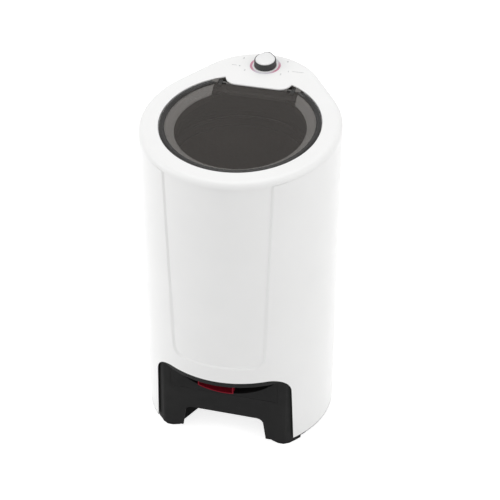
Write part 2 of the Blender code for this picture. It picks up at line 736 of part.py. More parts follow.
def build_foot_pads(machine, rubber):
    front = [(x, max(y, PAD_FRONT)) for x, y in sector(PAD_INNER, PAD_OUTER, *PAD_ANGLES, 0, True)]
    rear = sector(REAR_PAD_INNER, REAR_PAD_OUTER, *REAR_PAD_ANGLES, REAR_OFFSET, False)
    for end, outline in (("front", front), ("rear", rear)):
        for side, shape in zip(("right", "left"), both_sides(outline)):
            prism("foot_pad_%s_%s" % (end, side), shape, 0, LEG_FOOT - REST_GAP, machine, rubber)


# Red drain spout: a flat duct that lies on the alcove's arc, with a pipe up to the drain hose

SPOUT_HALF_WIDTH = 0.040
SPOUT_WALL = 0.0025
SPOUT_TOP = 0.166
SPOUT_REACH = 0.0025
SPOUT_PIPE_TOP = 0.206


def build_drain_spout(machine, red):
    start = FRONT_PLANE - SPOUT_REACH
    depth = SPOUT_REACH + ALCOVE_DEPTH - REST_GAP
    low, high = SPOUT_X - SPOUT_HALF_WIDTH, SPOUT_X + SPOUT_HALF_WIDTH
    outer = alcove_outline(-REST_GAP, low, high, SPOUT_TOP)
    inner = alcove_outline(-REST_GAP - SPOUT_WALL, low + SPOUT_WALL, high - SPOUT_WALL, SPOUT_TOP - SPOUT_WALL)
    spout = prism("drain_spout", outer, start, depth, machine, red, axis="Y")
    pipe_foot = SPOUT_TOP - SPOUT_WALL / 2
    pipe = cylinder("former_spout_pipe", (SPOUT_X, SPOUT_PIPE_Y, (pipe_foot + SPOUT_PIPE_TOP) / 2), PIPE_RADIUS,
                    SPOUT_PIPE_TOP - pipe_foot, machine, cutter=True)
    hollow = prism("cutter_spout_hollow", inner, start - OVERCUT, depth + OVERCUT - SPOUT_WALL, machine,
                   axis="Y", cutter=True)
    bore_foot = SPOUT_TOP - SPOUT_WALL * 2
    bore = cylinder("cutter_spout_bore", (SPOUT_X, SPOUT_PIPE_Y, (bore_foot + SPOUT_PIPE_TOP + OVERCUT) / 2),
                    PIPE_BORE, SPOUT_PIPE_TOP + OVERCUT - bore_foot, machine, cutter=True)
    boolean(spout, pipe, "UNION")
    boolean(spout, hollow)
    boolean(spout, bore)
    return spout


HOSE_WALL = 0.0025
HOSE_OVERLAP = 0.010


def build_drain_hose(machine, rubber):
    # A short sleeve over the spout's pipe, up to the drain hole in the tub's floor
    inner = PIPE_RADIUS + REST_GAP
    outer = inner + HOSE_WALL
    foot = SPOUT_PIPE_TOP - HOSE_OVERLAP + 2 * REST_GAP
    top = TUB_FOOT - REST_GAP
    profile = [(outer, top), (outer, foot), (inner, foot), (inner, top)]
    return turned("drain_hose", profile, machine, rubber, 16, (SPOUT_X, SPOUT_PIPE_Y))


# Outer tub and its cover ring

TUB_FOOT = BASE_TOP + REST_GAP


def build_outer_tub(machine, grey):
    inside = TUB_FOOT + TUB_WALL
    profile = [
        (TUB_RADIUS + TUB_FLANGE, TUB_TOP), (TUB_RADIUS + TUB_FLANGE, TUB_TOP - TUB_WALL),
        (TUB_RADIUS, TUB_TOP - TUB_WALL), (TUB_RADIUS, TUB_FOOT + TUB_CORNER),
        (TUB_RADIUS - TUB_CORNER, TUB_FOOT), (COLLAR_RADIUS, TUB_FOOT),
        (COLLAR_RADIUS, TUB_FOOT + COLLAR_RISE), (COLLAR_RADIUS + TUB_WALL, TUB_FOOT + COLLAR_RISE),
        (COLLAR_RADIUS + TUB_WALL, inside), (TUB_RADIUS - TUB_CORNER - TUB_WALL / 2, inside),
        (TUB_RADIUS - TUB_WALL, TUB_FOOT + TUB_CORNER + TUB_WALL / 2), (TUB_RADIUS - TUB_WALL, TUB_TOP),
    ]
    tub = turned("outer_tub", profile, machine, grey, 36)
    drain = cylinder("cutter_tub_drain", (SPOUT_X, SPOUT_PIPE_Y, TUB_FOOT), PIPE_BORE, TUB_WALL * 4, machine,
                     segments=12, cutter=True)
    return boolean(tub, drain)


def build_tub_cover(machine, white):
    foot = TUB_TOP + REST_GAP
    top = foot + TUB_WALL + TUB_COVER_RISE
    rim = TUB_RADIUS + TUB_FLANGE
    bend = TUB_RADIUS - TUB_WALL
    profile = [
        (rim, foot + TUB_WALL), (rim, foot), (bend, foot), (TUB_COVER_INNER, top - TUB_WALL),
        (TUB_COVER_INNER - SLEEVE_WALL - SEAT_GAP, top - TUB_WALL), (TUB_COVER_INNER - SLEEVE_WALL - SEAT_GAP, top),
        (TUB_COVER_INNER, top), (bend, foot + TUB_WALL),
    ]
    return turned("tub_cover", profile, machine, white, 32)


def build_shaft_seal(machine, rubber):
    # A rubber boot pressed into the tub's collar, its lip round the shaft
    top = TUB_FOOT + COLLAR_RISE
    wide = COLLAR_RADIUS - REST_GAP
    lip = SHAFT_RADIUS + REST_GAP
    profile = [
        (COLLAR_RADIUS + TUB_WALL, top + SEAL_WALL), (COLLAR_RADIUS + TUB_WALL, top + REST_GAP),
        (wide, top + REST_GAP), (wide, top - SEAL_PLUG), (wide - SEAL_WALL, top - SEAL_PLUG),
        (wide - SEAL_WALL, top - SEAL_WALL), (lip, top - SEAL_WALL), (lip, top),
    ]
    return turned("shaft_seal", profile, machine, rubber, 16)


SEAL_WALL = 0.0028
SEAL_PLUG = 0.012


# Spin basket, its balance ring, hub, nut and shaft

BASKET_CORNER = 0.010
HUB_BOSS = 0.020
HUB_FLANGE = 0.050
HUB_PLATE = 0.0042
HUB_UNDER = 0.0062
HUB_RISE = 0.030
HOLE_RADIUS = 0.004
HOLE_COLUMNS = 8
HOLE_ROWS = 6
HOLE_FOOT = 0.300
HOLE_TOP = 0.610
BASKET_SEGMENTS = 32
BALANCE_LEAD = 0.0025
BALANCE_INNER = RING_MOUTH_RADIUS - BALANCE_LEAD
BALANCE_HEIGHT = 0.020
NUT_RADIUS = 0.012
NUT_HEIGHT = 0.010
SHAFT_END = 0.003


def basket_hole_pegs(machine):
    # One mesh of short radial pegs, each in the middle of a facet of the basket's wall
    bm = bmesh.new()
    wall_middle = (BASKET_RADIUS - BASKET_WALL / 2) * math.cos(math.pi / BASKET_SEGMENTS)
    facet = 2 * math.pi / BASKET_SEGMENTS
    for row in range(HOLE_ROWS):
        height = HOLE_FOOT + (HOLE_TOP - HOLE_FOOT) * row / (HOLE_ROWS - 1)
        for column in range(HOLE_COLUMNS):
            step = column * BASKET_SEGMENTS // HOLE_COLUMNS + (row % 2) * 2
            turn = facet * (step + 1 / 2)
            peg = bmesh.ops.create_cone(bm, cap_ends=True, segments=6, radius1=HOLE_RADIUS,
                                        radius2=HOLE_RADIUS, depth=OVERCUT)
            way = Vector((math.cos(turn), math.sin(turn), 0))
            matrix = UP.rotation_difference(way).to_matrix()
            for vert in peg["verts"]:
                vert.co = matrix @ vert.co + way * wall_middle + UP * height
    return add_object("cutter_basket_holes", bm, machine, cutter=True)


def build_basket(spin, steel, grey, dark_steel):
    inner = BASKET_RADIUS - BASKET_WALL
    low = BASKET_FLOOR
    profile = [
        (BASKET_RADIUS, BASKET_TOP), (BASKET_RADIUS, low + BASKET_CORNER), (BASKET_RADIUS - BASKET_CORNER, low),
        (HUB_BOSS + SEAT_GAP, low), (HUB_BOSS + SEAT_GAP, low + BASKET_WALL),
        (BASKET_RADIUS - BASKET_CORNER - BASKET_WALL / 2, low + BASKET_WALL),
        (inner, low + BASKET_CORNER + BASKET_WALL / 2), (inner, BASKET_TOP),
    ]
    basket = turned("spin_basket", profile, spin, steel, BASKET_SEGMENTS)
    boolean(basket, basket_hole_pegs(spin))

    foot = BASKET_TOP + REST_GAP
    top = BASKET_TOP + BALANCE_HEIGHT
    rim = BASKET_RADIUS + BASKET_WALL
    shelf = (BASKET_RADIUS + BALANCE_INNER) / 2
    chamfer = BALANCE_HEIGHT / 4
    balance = [
        (rim - chamfer, top), (rim, top - chamfer), (rim, foot), (shelf, foot), (BALANCE_INNER, foot + chamfer),
        (BALANCE_INNER, top - chamfer), (BALANCE_INNER + chamfer, top),
    ]
    turned("balance_ring", balance, spin, grey, BASKET_SEGMENTS)

    bore = SHAFT_RADIUS + REST_GAP
    seat = low - REST_GAP
    hub_top = low + HUB_RISE
    hub = [
        (HUB_BOSS, hub_top), (HUB_BOSS, seat), (HUB_FLANGE, seat), (HUB_FLANGE, seat - HUB_PLATE),
        (HUB_BOSS, seat - HUB_UNDER), (bore, seat - HUB_UNDER), (bore, hub_top),
    ]
    turned("basket_hub", hub, spin, dark_steel, 20)

    nut_foot = hub_top + REST_GAP
    nut = cylinder("hub_nut", (0, 0, nut_foot + NUT_HEIGHT / 2), NUT_RADIUS, NUT_HEIGHT, spin, dark_steel,
                   segments=6)
    boolean(nut, cylinder("cutter_nut_bore", (0, 0, nut_foot + NUT_HEIGHT / 2), bore, NUT_HEIGHT * 2, spin,
                          segments=12, cutter=True))
    shaft_top = nut_foot + NUT_HEIGHT + SHAFT_END
    shaft = [(0, shaft_top), (SHAFT_RADIUS, shaft_top), (SHAFT_RADIUS, SHAFT_FOOT), (0, SHAFT_FOOT)]
    turned("drive_shaft", shaft, spin, dark_steel, 16)


# Motor hung under the tub on a three-armed bracket and rubber mounts

SHAFT_HOLE = 0.009
SEAT_WALL = 0.004
STATOR_INNER = 0.0335
STATOR_MARGIN = 0.010
ROTOR_RADIUS = 0.032
ROTOR_MARGIN = 0.007
BRACKET_DISC = 0.045
ARM_HALF_WIDTH = 0.014
BRACKET_HOLE = 0.012
BOLT_RADIUS = 0.004
BOLT_HEAD = 0.007
BOLT_HEAD_HEIGHT = 0.0055
MOUNT_RADIUS = 0.011
MOUNT_WAIST = 0.008
ARM_ANGLES = (90, 210, 330)


def end_cap(name, face, way, machine, finish):
    # A turned motor cap with its bearing seat; way is +1 for the lower cap and -1 for the upper
    inside = MOTOR_RADIUS - MOTOR_WALL
    seat = BEARING_RADIUS + REST_GAP
    plate = face + way * MOTOR_WALL
    deep = plate + way * (BEARING_HEIGHT + 2 * REST_GAP)
    profile = [
        (inside, face), (MOTOR_RADIUS, plate), (MOTOR_RADIUS, face + way * CAP_HEIGHT),
        (inside, face + way * CAP_HEIGHT), (inside, plate), (seat + SEAT_WALL, plate), (seat + SEAT_WALL, deep),
        (seat, deep), (seat, plate), (SHAFT_HOLE, plate), (SHAFT_HOLE, face),
    ]
    turned(name, profile, machine, finish, 24)


def build_motor(machine, spin, cast, dark, steel, rubber):
    end_cap("motor_upper_cap", MOTOR_TOP, -1, machine, cast)
    end_cap("motor_lower_cap", MOTOR_FOOT, 1, machine, cast)
    inside = MOTOR_RADIUS - MOTOR_WALL
    low = MOTOR_FOOT + CAP_HEIGHT + REST_GAP
    high = MOTOR_TOP - CAP_HEIGHT - REST_GAP
    turned("motor_housing", [(MOTOR_RADIUS, high), (MOTOR_RADIUS, low), (inside, low), (inside, high)],
           machine, dark, 24)
    stack = inside - REST_GAP - SEAT_GAP / 2
    low, high = low + STATOR_MARGIN, high - STATOR_MARGIN
    turned("stator", [(stack, high), (stack, low), (STATOR_INNER, low), (STATOR_INNER, high)],
           machine, steel, 24)
    bore = SHAFT_RADIUS + REST_GAP
    low, high = low - STATOR_MARGIN + ROTOR_MARGIN, high + STATOR_MARGIN - ROTOR_MARGIN
    turned("rotor", [(ROTOR_RADIUS, high), (ROTOR_RADIUS, low), (bore, low), (bore, high)], spin, steel, 20)
    for name, foot in (("lower_bearing", MOTOR_FOOT + MOTOR_WALL + REST_GAP),
                       ("upper_bearing", MOTOR_TOP - MOTOR_WALL - REST_GAP - BEARING_HEIGHT)):
        top = foot + BEARING_HEIGHT
        turned(name, [(BEARING_RADIUS, top), (BEARING_RADIUS, foot), (bore, foot), (bore, top)],
               machine, steel, 16)

    outline = []
    spread = math.degrees(math.asin(ARM_HALF_WIDTH / BRACKET_DISC))
    for k, angle in enumerate(ARM_ANGLES):
        turn = math.radians(angle)
        mount = (MOUNT_CIRCLE * math.cos(turn), MOUNT_CIRCLE * math.sin(turn))
        outline += arc(mount, ARM_HALF_WIDTH, angle - 90, angle + 90, 6)
        outline += arc((0, 0), BRACKET_DISC, angle + spread, angle + 120 - spread, 4)
    foot = MOTOR_TOP + REST_GAP
    bracket = prism("motor_bracket", outline, foot, BRACKET_THICKNESS, machine, steel)
    boolean(bracket, cylinder("cutter_bracket_middle", (0, 0, foot), BRACKET_HOLE, OVERCUT, machine, cutter=True))
    mount_foot = foot + BRACKET_THICKNESS + REST_GAP
    mount_top = TUB_FOOT - REST_GAP
    inner = BOLT_RADIUS + REST_GAP
    for k, angle in enumerate(ARM_ANGLES):
        turn = math.radians(angle)
        place = (MOUNT_CIRCLE * math.cos(turn), MOUNT_CIRCLE * math.sin(turn))
        hole = cylinder("cutter_mount_hole_%d" % k, (*place, foot), inner, OVERCUT, machine, segments=12,
                        cutter=True)
        boolean(bracket, hole)
        middle = (mount_foot + mount_top) / 2
        mount = [(MOUNT_RADIUS, mount_top), (MOUNT_WAIST, middle), (MOUNT_RADIUS, mount_foot),
                 (inner, mount_foot), (inner, mount_top)]
        turned("rubber_mount_%d" % (k + 1), mount, machine, rubber, 12, place)
        head = foot - REST_GAP
        bolt = [(0, mount_top), (BOLT_RADIUS, mount_top), (BOLT_RADIUS, head), (BOLT_HEAD, head),
                (BOLT_HEAD, head - BOLT_HEAD_HEIGHT), (0, head - BOLT_HEAD_HEIGHT)]
        turned("mount_bolt_%d" % (k + 1), bolt, machine, steel, 8, place)


# Capacitor in its clip on the base's floor

CAPACITOR_PLACE = (-0.075, 0.120)
CAPACITOR_RADIUS = 0.020
CAPACITOR_HEIGHT = 0.070
CLIP_HEIGHT = 0.010
CLIP_RISE = 0.022
CLIP_WALL = 0.0015
CLIP_FOOT = 0.012


def build_capacitor(machine, grey, steel):
    foot = FLOOR_TOP + REST_GAP
    top = foot + CAPACITOR_HEIGHT
    chamfer = CLIP_WALL
    profile = [(0, top), (CAPACITOR_RADIUS - chamfer, top), (CAPACITOR_RADIUS, top - chamfer),
               (CAPACITOR_RADIUS, foot), (0, foot)]
    turned("capacitor", profile, machine, grey, 16, CAPACITOR_PLACE)
    inner = CAPACITOR_RADIUS + REST_GAP
    outer = inner + CLIP_WALL
    low = foot + CLIP_RISE
    ring = turned("capacitor_clip", [(outer, low + CLIP_HEIGHT), (outer, low), (inner, low), (inner, low + CLIP_HEIGHT)],
                  machine, steel, 16, CAPACITOR_PLACE)
    x, y = CAPACITOR_PLACE
    half = CLIP_HEIGHT / 2
    post = box("former_clip_post", (x - outer - CLIP_WALL, y - half, foot), (x - outer + CLIP_WALL / 2, y + half, low + half),
               machine, cutter=True)
    plate = box("former_clip_foot", (x - outer - CLIP_FOOT, y - half, foot),
                (x - outer - CLIP_WALL / 2, y + half, foot + CLIP_WALL), machine, cutter=True)
    boolean(ring, post, "UNION")
    boolean(ring, plate, "UNION")


# Brake: drum on the shaft, lever with a lined shoe, bracket with its post, spring and cable

DRUM_RADIUS = 0.036
DRUM_FOOT = 0.087
DRUM_HEIGHT = 0.014
DRUM_WALL = 0.004
DRUM_HUB = 0.012
SHOE_GAP = 0.003
SHOE_THICKNESS = 0.004
SHOE_ANGLE = 18
LEVER_HEIGHT = 0.090
LEVER_THICKNESS = 0.007
LEVER_WIDTH = 0.008
BRAKE_PIVOT = (0.048, 0.034)
POST_RADIUS = 0.003
LEVER_END = -0.044
SPRING_Y = -0.036
SPRING_RADIUS = 0.0055
SPRING_WIRE = 0.0009
SPRING_TURNS = 4
SPRING_POINTS = 7
ABUTMENT_X = 0.076
BRACKET_PLATE = 0.002


def build_brake(machine, spin, brake, steel, dark, lining):
    bore = SHAFT_RADIUS + REST_GAP
    top = DRUM_FOOT + DRUM_HEIGHT
    drum = [
        (DRUM_RADIUS, top), (DRUM_RADIUS, DRUM_FOOT), (DRUM_RADIUS - DRUM_WALL, DRUM_FOOT),
        (DRUM_RADIUS - DRUM_WALL, top - DRUM_WALL), (DRUM_HUB, top - DRUM_WALL), (DRUM_HUB, DRUM_FOOT),
        (bore, DRUM_FOOT), (bore, top),
    ]
    turned("brake_drum", drum, spin, dark, 20)

    px, py = BRAKE_PIVOT
    inner = DRUM_RADIUS + SHOE_GAP
    outer = inner + SHOE_THICKNESS
    turns = [math.radians(SHOE_ANGLE * (k / 2 - 1)) for k in range(5)]
    shoe = [(inner * math.cos(t), inner * math.sin(t)) for t in turns]
    back_x = outer * math.cos(turns[-1]) + SHOE_THICKNESS / 2
    shoe += [(back_x, shoe[-1][1]), (back_x, shoe[0][1])]
    shoe = [(x - px, y - py) for x, y in shoe]
    prism("brake_shoe", shoe, LEVER_HEIGHT, LEVER_THICKNESS, brake, lining)

    # the lever runs from its eye round the post, along the shoe's back, to the cable's end
    left = back_x + REST_GAP - px
    right = left + LEVER_WIDTH
    eye = LEVER_WIDTH * 3 / 4
    end = LEVER_END - py
    outline = arc((0, 0), eye, 20, 160, 5) + [(left, -eye), (left, end), (right, end), (right, -eye)]
    lever = prism("brake_lever", outline, LEVER_HEIGHT, LEVER_THICKNESS, brake, steel)
    boolean(lever, cylinder("cutter_lever_eye", (0, 0, LEVER_HEIGHT), POST_RADIUS + REST_GAP, OVERCUT * 4,
                            brake, segments=12, cutter=True))

    foot = FLOOR_TOP + REST_GAP
    tall = LEVER_HEIGHT + LEVER_THICKNESS + BRACKET_PLATE
    plate_low = (px - eye, LEVER_END, foot)
    plate_high = (ABUTMENT_X + BRACKET_PLATE, py + eye, foot + BRACKET_PLATE)
    bracket = box("brake_bracket", plate_low, plate_high, machine, steel)
    post = cylinder("former_brake_post", (px, py, (foot + SEAT_GAP + tall) / 2), POST_RADIUS,
                    tall - foot - SEAT_GAP, machine, segments=12, cutter=True)
    wall = box("former_abutment", (ABUTMENT_X, SPRING_Y - 2 * SPRING_RADIUS + SEAT_GAP, foot + SEAT_GAP),
               (ABUTMENT_X + BRACKET_PLATE - SEAT_GAP / 4, SPRING_Y + 2 * SPRING_RADIUS, tall), machine, cutter=True)
    boolean(bracket, post, "UNION")
    boolean(bracket, wall, "UNION")

    start = right + px + SPRING_WIRE + REST_GAP
    stop = ABUTMENT_X - SPRING_WIRE - REST_GAP
    middle = LEVER_HEIGHT + LEVER_THICKNESS / 2
    count = SPRING_TURNS * SPRING_POINTS
    coil = []
    for k in range(count + 1):
        turn = 2 * math.pi * k / SPRING_POINTS
        coil.append((start + (stop - start) * k / count, SPRING_Y + SPRING_RADIUS * math.cos(turn),
                     middle + SPRING_RADIUS * math.sin(turn)))
    tube("brake_spring", coil, SPRING_WIRE, machine, steel, 1)


CABLE_RADIUS = 0.0025
CABLE_X = -0.006
CABLE_POINTS = 26
HARNESS_RADIUS = 0.0035
HARNESS_X = 0.008
HARNESS_POINTS = 22


def build_cables(machine, dark):
    middle = LEVER_HEIGHT + LEVER_THICKNESS / 2
    start = deck_point(-CRANK_X, HINGE_V + CRANK_LENGTH, -POCKET_DROP - DECK_THICKNESS - SEAT_GAP)
    route = [
        start, start + Vector((0.004, 0.014, -0.020)), (-0.030, 0.195, 0.670), (CABLE_X, CABLE_PASS_Y, 0.600),
        (CABLE_X, CABLE_PASS_Y, 0.420), (CABLE_X, CABLE_PASS_Y, 0.250), (CABLE_X, 0.212, 0.170),
        (0.018, 0.196, 0.130), (0.070, 0.135, 0.115), (0.122, 0.055, 0.098), (0.128, 0.000, middle), (0.108, SPRING_Y + 0.004, middle),
        (ABUTMENT_X + BRACKET_PLATE + REST_GAP, SPRING_Y, middle),
    ]
    tube("brake_cable", smooth_route(route, CABLE_POINTS), CABLE_RADIUS, machine, dark, 1)
    x, y = CAPACITOR_PLACE
    top = FLOOR_TOP + REST_GAP + CAPACITOR_HEIGHT + SEAT_GAP
    timer_foot = deck_point(HARNESS_X, KNOB_V, -DECK_THICKNESS - 2 * REST_GAP - TIMER_DEPTH - 2 * REST_GAP)
    route = [
        timer_foot, timer_foot + Vector((0, 0.004, -0.030)), (HARNESS_X, CABLE_PASS_Y, 0.620),
        (HARNESS_X, CABLE_PASS_Y, 0.420), (HARNESS_X, CABLE_PASS_Y, 0.250), (-0.012, 0.196, 0.195),
        (-0.050, 0.150, 0.186), (x, y, top + 0.026), (x, y, top),
    ]
    tube("wiring_harness", smooth_route(route, HARNESS_POINTS), HARNESS_RADIUS, machine, dark, 1)


# Hinge bracket under the tongue, with the lid's pins, the brake crank, the switch and its cam

BLOCK_HALF_WIDTH = 0.0655
BLOCK_FRONT = 0.126
BLOCK_REAR = 0.149
BLOCK_WALL = 0.002
PLATE_SIDE = 0.0215
PLATE_HALF_WIDTH = TONGUE_HALF_WIDTH + PLATE_SIDE
PLATE_REACH = 0.016
PLATE_FRONT = HINGE_V - PLATE_REACH
PLATE_THICKNESS = 0.0025
APRON_DROP = 0.0255
PIN_REACH = 0.011
PIN_OUTER = TONGUE_HALF_WIDTH + PIN_REACH
PIN_LENGTH = 0.0325
PIN_INNER = PIN_OUTER - PIN_LENGTH
COVER_GAP = 0.0007
COVER_INNER = PIN_OUTER + COVER_GAP
COVER_WIDTH = 0.0128
COVER_OUTER = COVER_INNER + COVER_WIDTH
COVER_TOP = -0.0008
COVER_STEPS = 4
CRANK_INSET = 0.0055
CRANK_X = PIN_INNER + CRANK_INSET
CRANK_WIDTH = 0.003
CRANK_BOSS = 0.0037
CRANK_LENGTH = 0.011
CRANK_END = 0.0022
SWITCH_INSET = 0.005
SWITCH_X = PIN_INNER + SWITCH_INSET
SWITCH_HALF_WIDTH = 0.0065
SWITCH_TOP = 0.0145
SWITCH_HEIGHT = 0.007
SWITCH_REACH = 0.0115
PLUNGER_RADIUS = 0.0015
PLUNGER_BURY = 0.003
CAM_REACH = 0.0054
CAM_BASE = 0.0036
CAM_GAP = 0.00045
CAM_HALF_WIDTH = 0.002
CAM_STEPS = 8
LID_OPEN = 105


def build_hinge(deck, lid_axis, switch_axis, black, steel, grey):
    radius = MOUTH_RADIUS - SEAT_GAP
    plate_foot = -POCKET_DROP + REST_GAP
    edge = math.degrees(math.acos(PLATE_HALF_WIDTH / radius))
    half = [(PLATE_HALF_WIDTH, PLATE_FRONT)] + arc((0, LID_OFFSET), radius, edge, 90, 8)
    outline = half + [(-x, v) for x, v in reversed(half[:-1])]
    bracket = prism("hinge_bracket", outline, plate_foot, PLATE_THICKNESS, deck, black)
    block_top = -DECK_THICKNESS - REST_GAP
    block = box("former_hinge_block", (-BLOCK_HALF_WIDTH, BLOCK_FRONT, plate_foot + PLATE_THICKNESS / 2),
                (BLOCK_HALF_WIDTH, BLOCK_REAR, block_top), deck, cutter=True)
    apron = box("former_apron", (-BLOCK_HALF_WIDTH, PLATE_FRONT + SEAT_GAP / 4, -APRON_DROP),
                (BLOCK_HALF_WIDTH, PLATE_FRONT + PLATE_THICKNESS, plate_foot + PLATE_THICKNESS / 2), deck,
                cutter=True)
    window = box("cutter_hinge_window", (-BLOCK_HALF_WIDTH + BLOCK_WALL, BLOCK_FRONT + BLOCK_WALL, -APRON_DROP * 2),
                 (BLOCK_HALF_WIDTH - BLOCK_WALL, BLOCK_REAR - BLOCK_WALL, OVERCUT), deck, cutter=True)
    pins = cylinder("cutter_pin_holes", (0, HINGE_V, HINGE_W), PIN_RADIUS + REST_GAP, PIN_OUTER * 2, deck,
                    axis="X", segments=12, cutter=True)
    boolean(bracket, block, "UNION")
    boolean(bracket, apron, "UNION")
    # fixed corner covers carry the lid's round outline on behind its straight rear edge
    start = math.degrees(math.acos(COVER_OUTER / LID_RADIUS))
    stop = math.degrees(math.acos(COVER_INNER / LID_RADIUS))
    corner = [(COVER_INNER, LID_REAR + SEAT_GAP), (COVER_OUTER, LID_REAR + SEAT_GAP)]
    corner += arc((0, LID_OFFSET), LID_RADIUS, start, stop, COVER_STEPS)
    foot = plate_foot + PLATE_THICKNESS / 2
    for side, shape in zip(("right", "left"), both_sides(corner)):
        boolean(bracket, prism("former_corner_" + side, shape, foot, COVER_TOP - foot, deck, cutter=True), "UNION")
    boolean(bracket, window)
    boolean(bracket, pins)

    middle = (PIN_INNER + PIN_OUTER) / 2
    length = PIN_OUTER - PIN_INNER
    cylinder("hinge_pin_right", (middle, 0, 0), PIN_RADIUS, length, lid_axis, steel, axis="X", segments=12)
    cylinder("hinge_pin_left", (-middle, 0, 0), PIN_RADIUS, length, lid_axis, steel, axis="X", segments=12)

    # the crank's arm points to the rear at rest and swings down as the lid opens
    arm = [(CRANK_LENGTH, CRANK_END), (CRANK_LENGTH, -CRANK_END)]
    outline = arc((0, 0), CRANK_BOSS, 40, 320, 8) + arm[::-1]
    crank = prism("brake_crank", outline, -CRANK_X - CRANK_WIDTH / 2, CRANK_WIDTH, lid_axis, steel, axis="X")
    # the cam's lobe presses the plunger at rest and falls away evenly over the lid's travel
    lobe = []
    for k in range(CAM_STEPS + 1):
        turn = math.radians(-90 + LID_OPEN * k / CAM_STEPS)
        reach = CAM_REACH - (CAM_REACH - CAM_BASE) * k / CAM_STEPS
        lobe.append((reach * math.cos(turn), reach * math.sin(turn)))
    back = arc((0, 0), CAM_BASE, LID_OPEN - 70, 230, 6) + arc((0, 0), CAM_REACH, 245, 257, 1)
    cam = prism("switch_cam", lobe + back, SWITCH_X - CAM_HALF_WIDTH, 2 * CAM_HALF_WIDTH, lid_axis, grey,
                axis="X")
    for piece in (crank, cam):
        boolean(piece, cylinder("cutter_bore_" + piece.name, (0, 0, 0), PIN_RADIUS + REST_GAP, PIN_OUTER * 2,
                                lid_axis, axis="X", segments=12, cutter=True))

    low = (SWITCH_X - SWITCH_HALF_WIDTH, HINGE_V - PLUNGER_RADIUS * 2, -SWITCH_TOP - SWITCH_HEIGHT)
    high = (SWITCH_X + SWITCH_HALF_WIDTH, HINGE_V + SWITCH_REACH, -SWITCH_TOP)
    switch = box("lid_switch", low, high, deck, grey)
    plunger_foot = -SWITCH_TOP - PLUNGER_BURY
    plunger_top = HINGE_W - CAM_REACH - CAM_GAP
    hole = cylinder("cutter_plunger_hole", (SWITCH_X, HINGE_V, -SWITCH_TOP), PLUNGER_RADIUS + REST_GAP,
                    (PLUNGER_BURY + REST_GAP) * 2, deck, segments=12, cutter=True)
    boolean(switch, hole)
    cylinder("switch_plunger", (0, 0, (plunger_foot + plunger_top) / 2 - HINGE_W), PLUNGER_RADIUS,
             plunger_top - plunger_foot, switch_axis, steel, segments=12)


# Lid: a round smoked plate with a thick bead, notched round the tongue, with two ears for its pins

NOTCH_GAP = 0.0022
NOTCH_CORNER = 0.012
LID_UNDERCUT = 0.0020


def build_lid(deck, lid_axis, smoked):
    inner = LID_RADIUS - LID_BEAD
    bead_foot = LID_BEAD_TOP - LID_BEAD_DEPTH
    under = LID_PLATE_TOP - LID_PLATE
    profile = [
        (0, LID_PLATE_TOP), (inner, LID_PLATE_TOP), (inner + LID_BEAD_ROUND / 2, LID_BEAD_TOP),
        (LID_RADIUS - LID_BEAD_ROUND, LID_BEAD_TOP), (LID_RADIUS - LID_BEAD_ROUND / 4, LID_BEAD_TOP - LID_BEAD_ROUND / 3),
        (LID_RADIUS, LID_BEAD_TOP - LID_BEAD_ROUND), (LID_RADIUS, bead_foot), (inner, bead_foot), (inner, under),
        (0, under),
    ]
    lid = turned("lid", profile, lid_axis, smoked, 48)
    lid.location = (0, LID_OFFSET - HINGE_V, -HINGE_W)
    half_width = TONGUE_HALF_WIDTH + NOTCH_GAP
    front = TONGUE_FRONT - NOTCH_GAP
    half = arc((half_width - NOTCH_CORNER, front + NOTCH_CORNER), NOTCH_CORNER, 0, -90, 4)
    outline = [(half_width, LID_RADIUS + OVERCUT)] + half
    outline += [(-x, v) for x, v in reversed(outline)]
    boolean(lid, prism("cutter_lid_notch", outline, -OVERCUT * 2, OVERCUT * 4, deck, cutter=True))
    # straight slanted rear edge, so that the bead swings clear of the mouth and the corner covers
    end = LID_RADIUS + OVERCUT
    rear = [(LID_REAR, OVERCUT), (LID_REAR, LID_BEAD_TOP), (LID_REAR - LID_UNDERCUT, bead_foot),
            (LID_REAR - LID_UNDERCUT, -OVERCUT * 2), (end, -OVERCUT * 2), (end, OVERCUT)]
    boolean(lid, prism("cutter_lid_rear", rear, -LID_RADIUS, LID_RADIUS * 2, deck, axis="X", cutter=True))
    mid_plate = LID_PLATE_TOP - LID_PLATE / 2
    ear = [(HINGE_V - EAR_FRONT, mid_plate), (HINGE_V - EAR_FRONT, under - LID_PLATE)]
    ear += arc((HINGE_V, HINGE_W), EAR_RADIUS, 250, 360, 5) + [(HINGE_V + EAR_RADIUS, mid_plate)]
    start = half_width + SEAT_GAP / 4
    for side, low in (("right", start), ("left", -start - EAR_WIDTH)):
        boolean(lid, prism("former_ear_" + side, ear, low, EAR_WIDTH, deck, axis="X", cutter=True), "UNION")
    boolean(lid, cylinder("cutter_ear_bore", (0, HINGE_V, HINGE_W), PIN_RADIUS + REST_GAP, PIN_OUTER * 3, deck,
                          axis="X", segments=12, cutter=True))
    return lid


# Timer under the deck, its shaft and knob

TIMER_HALF_WIDTH = 0.022
TIMER_DEPTH = 0.024
TIMER_SHAFT_RADIUS = 0.003
TIMER_SHAFT_BURY = 0.016
KNOB_LIFT = 0.0006
KNOB_TAPER = 0.0010
KNOB_SKIRT = 0.0168
KNOB_RIM = 0.0022
KNOB_WELL = 0.0138
CAP_DOME = 0.0032


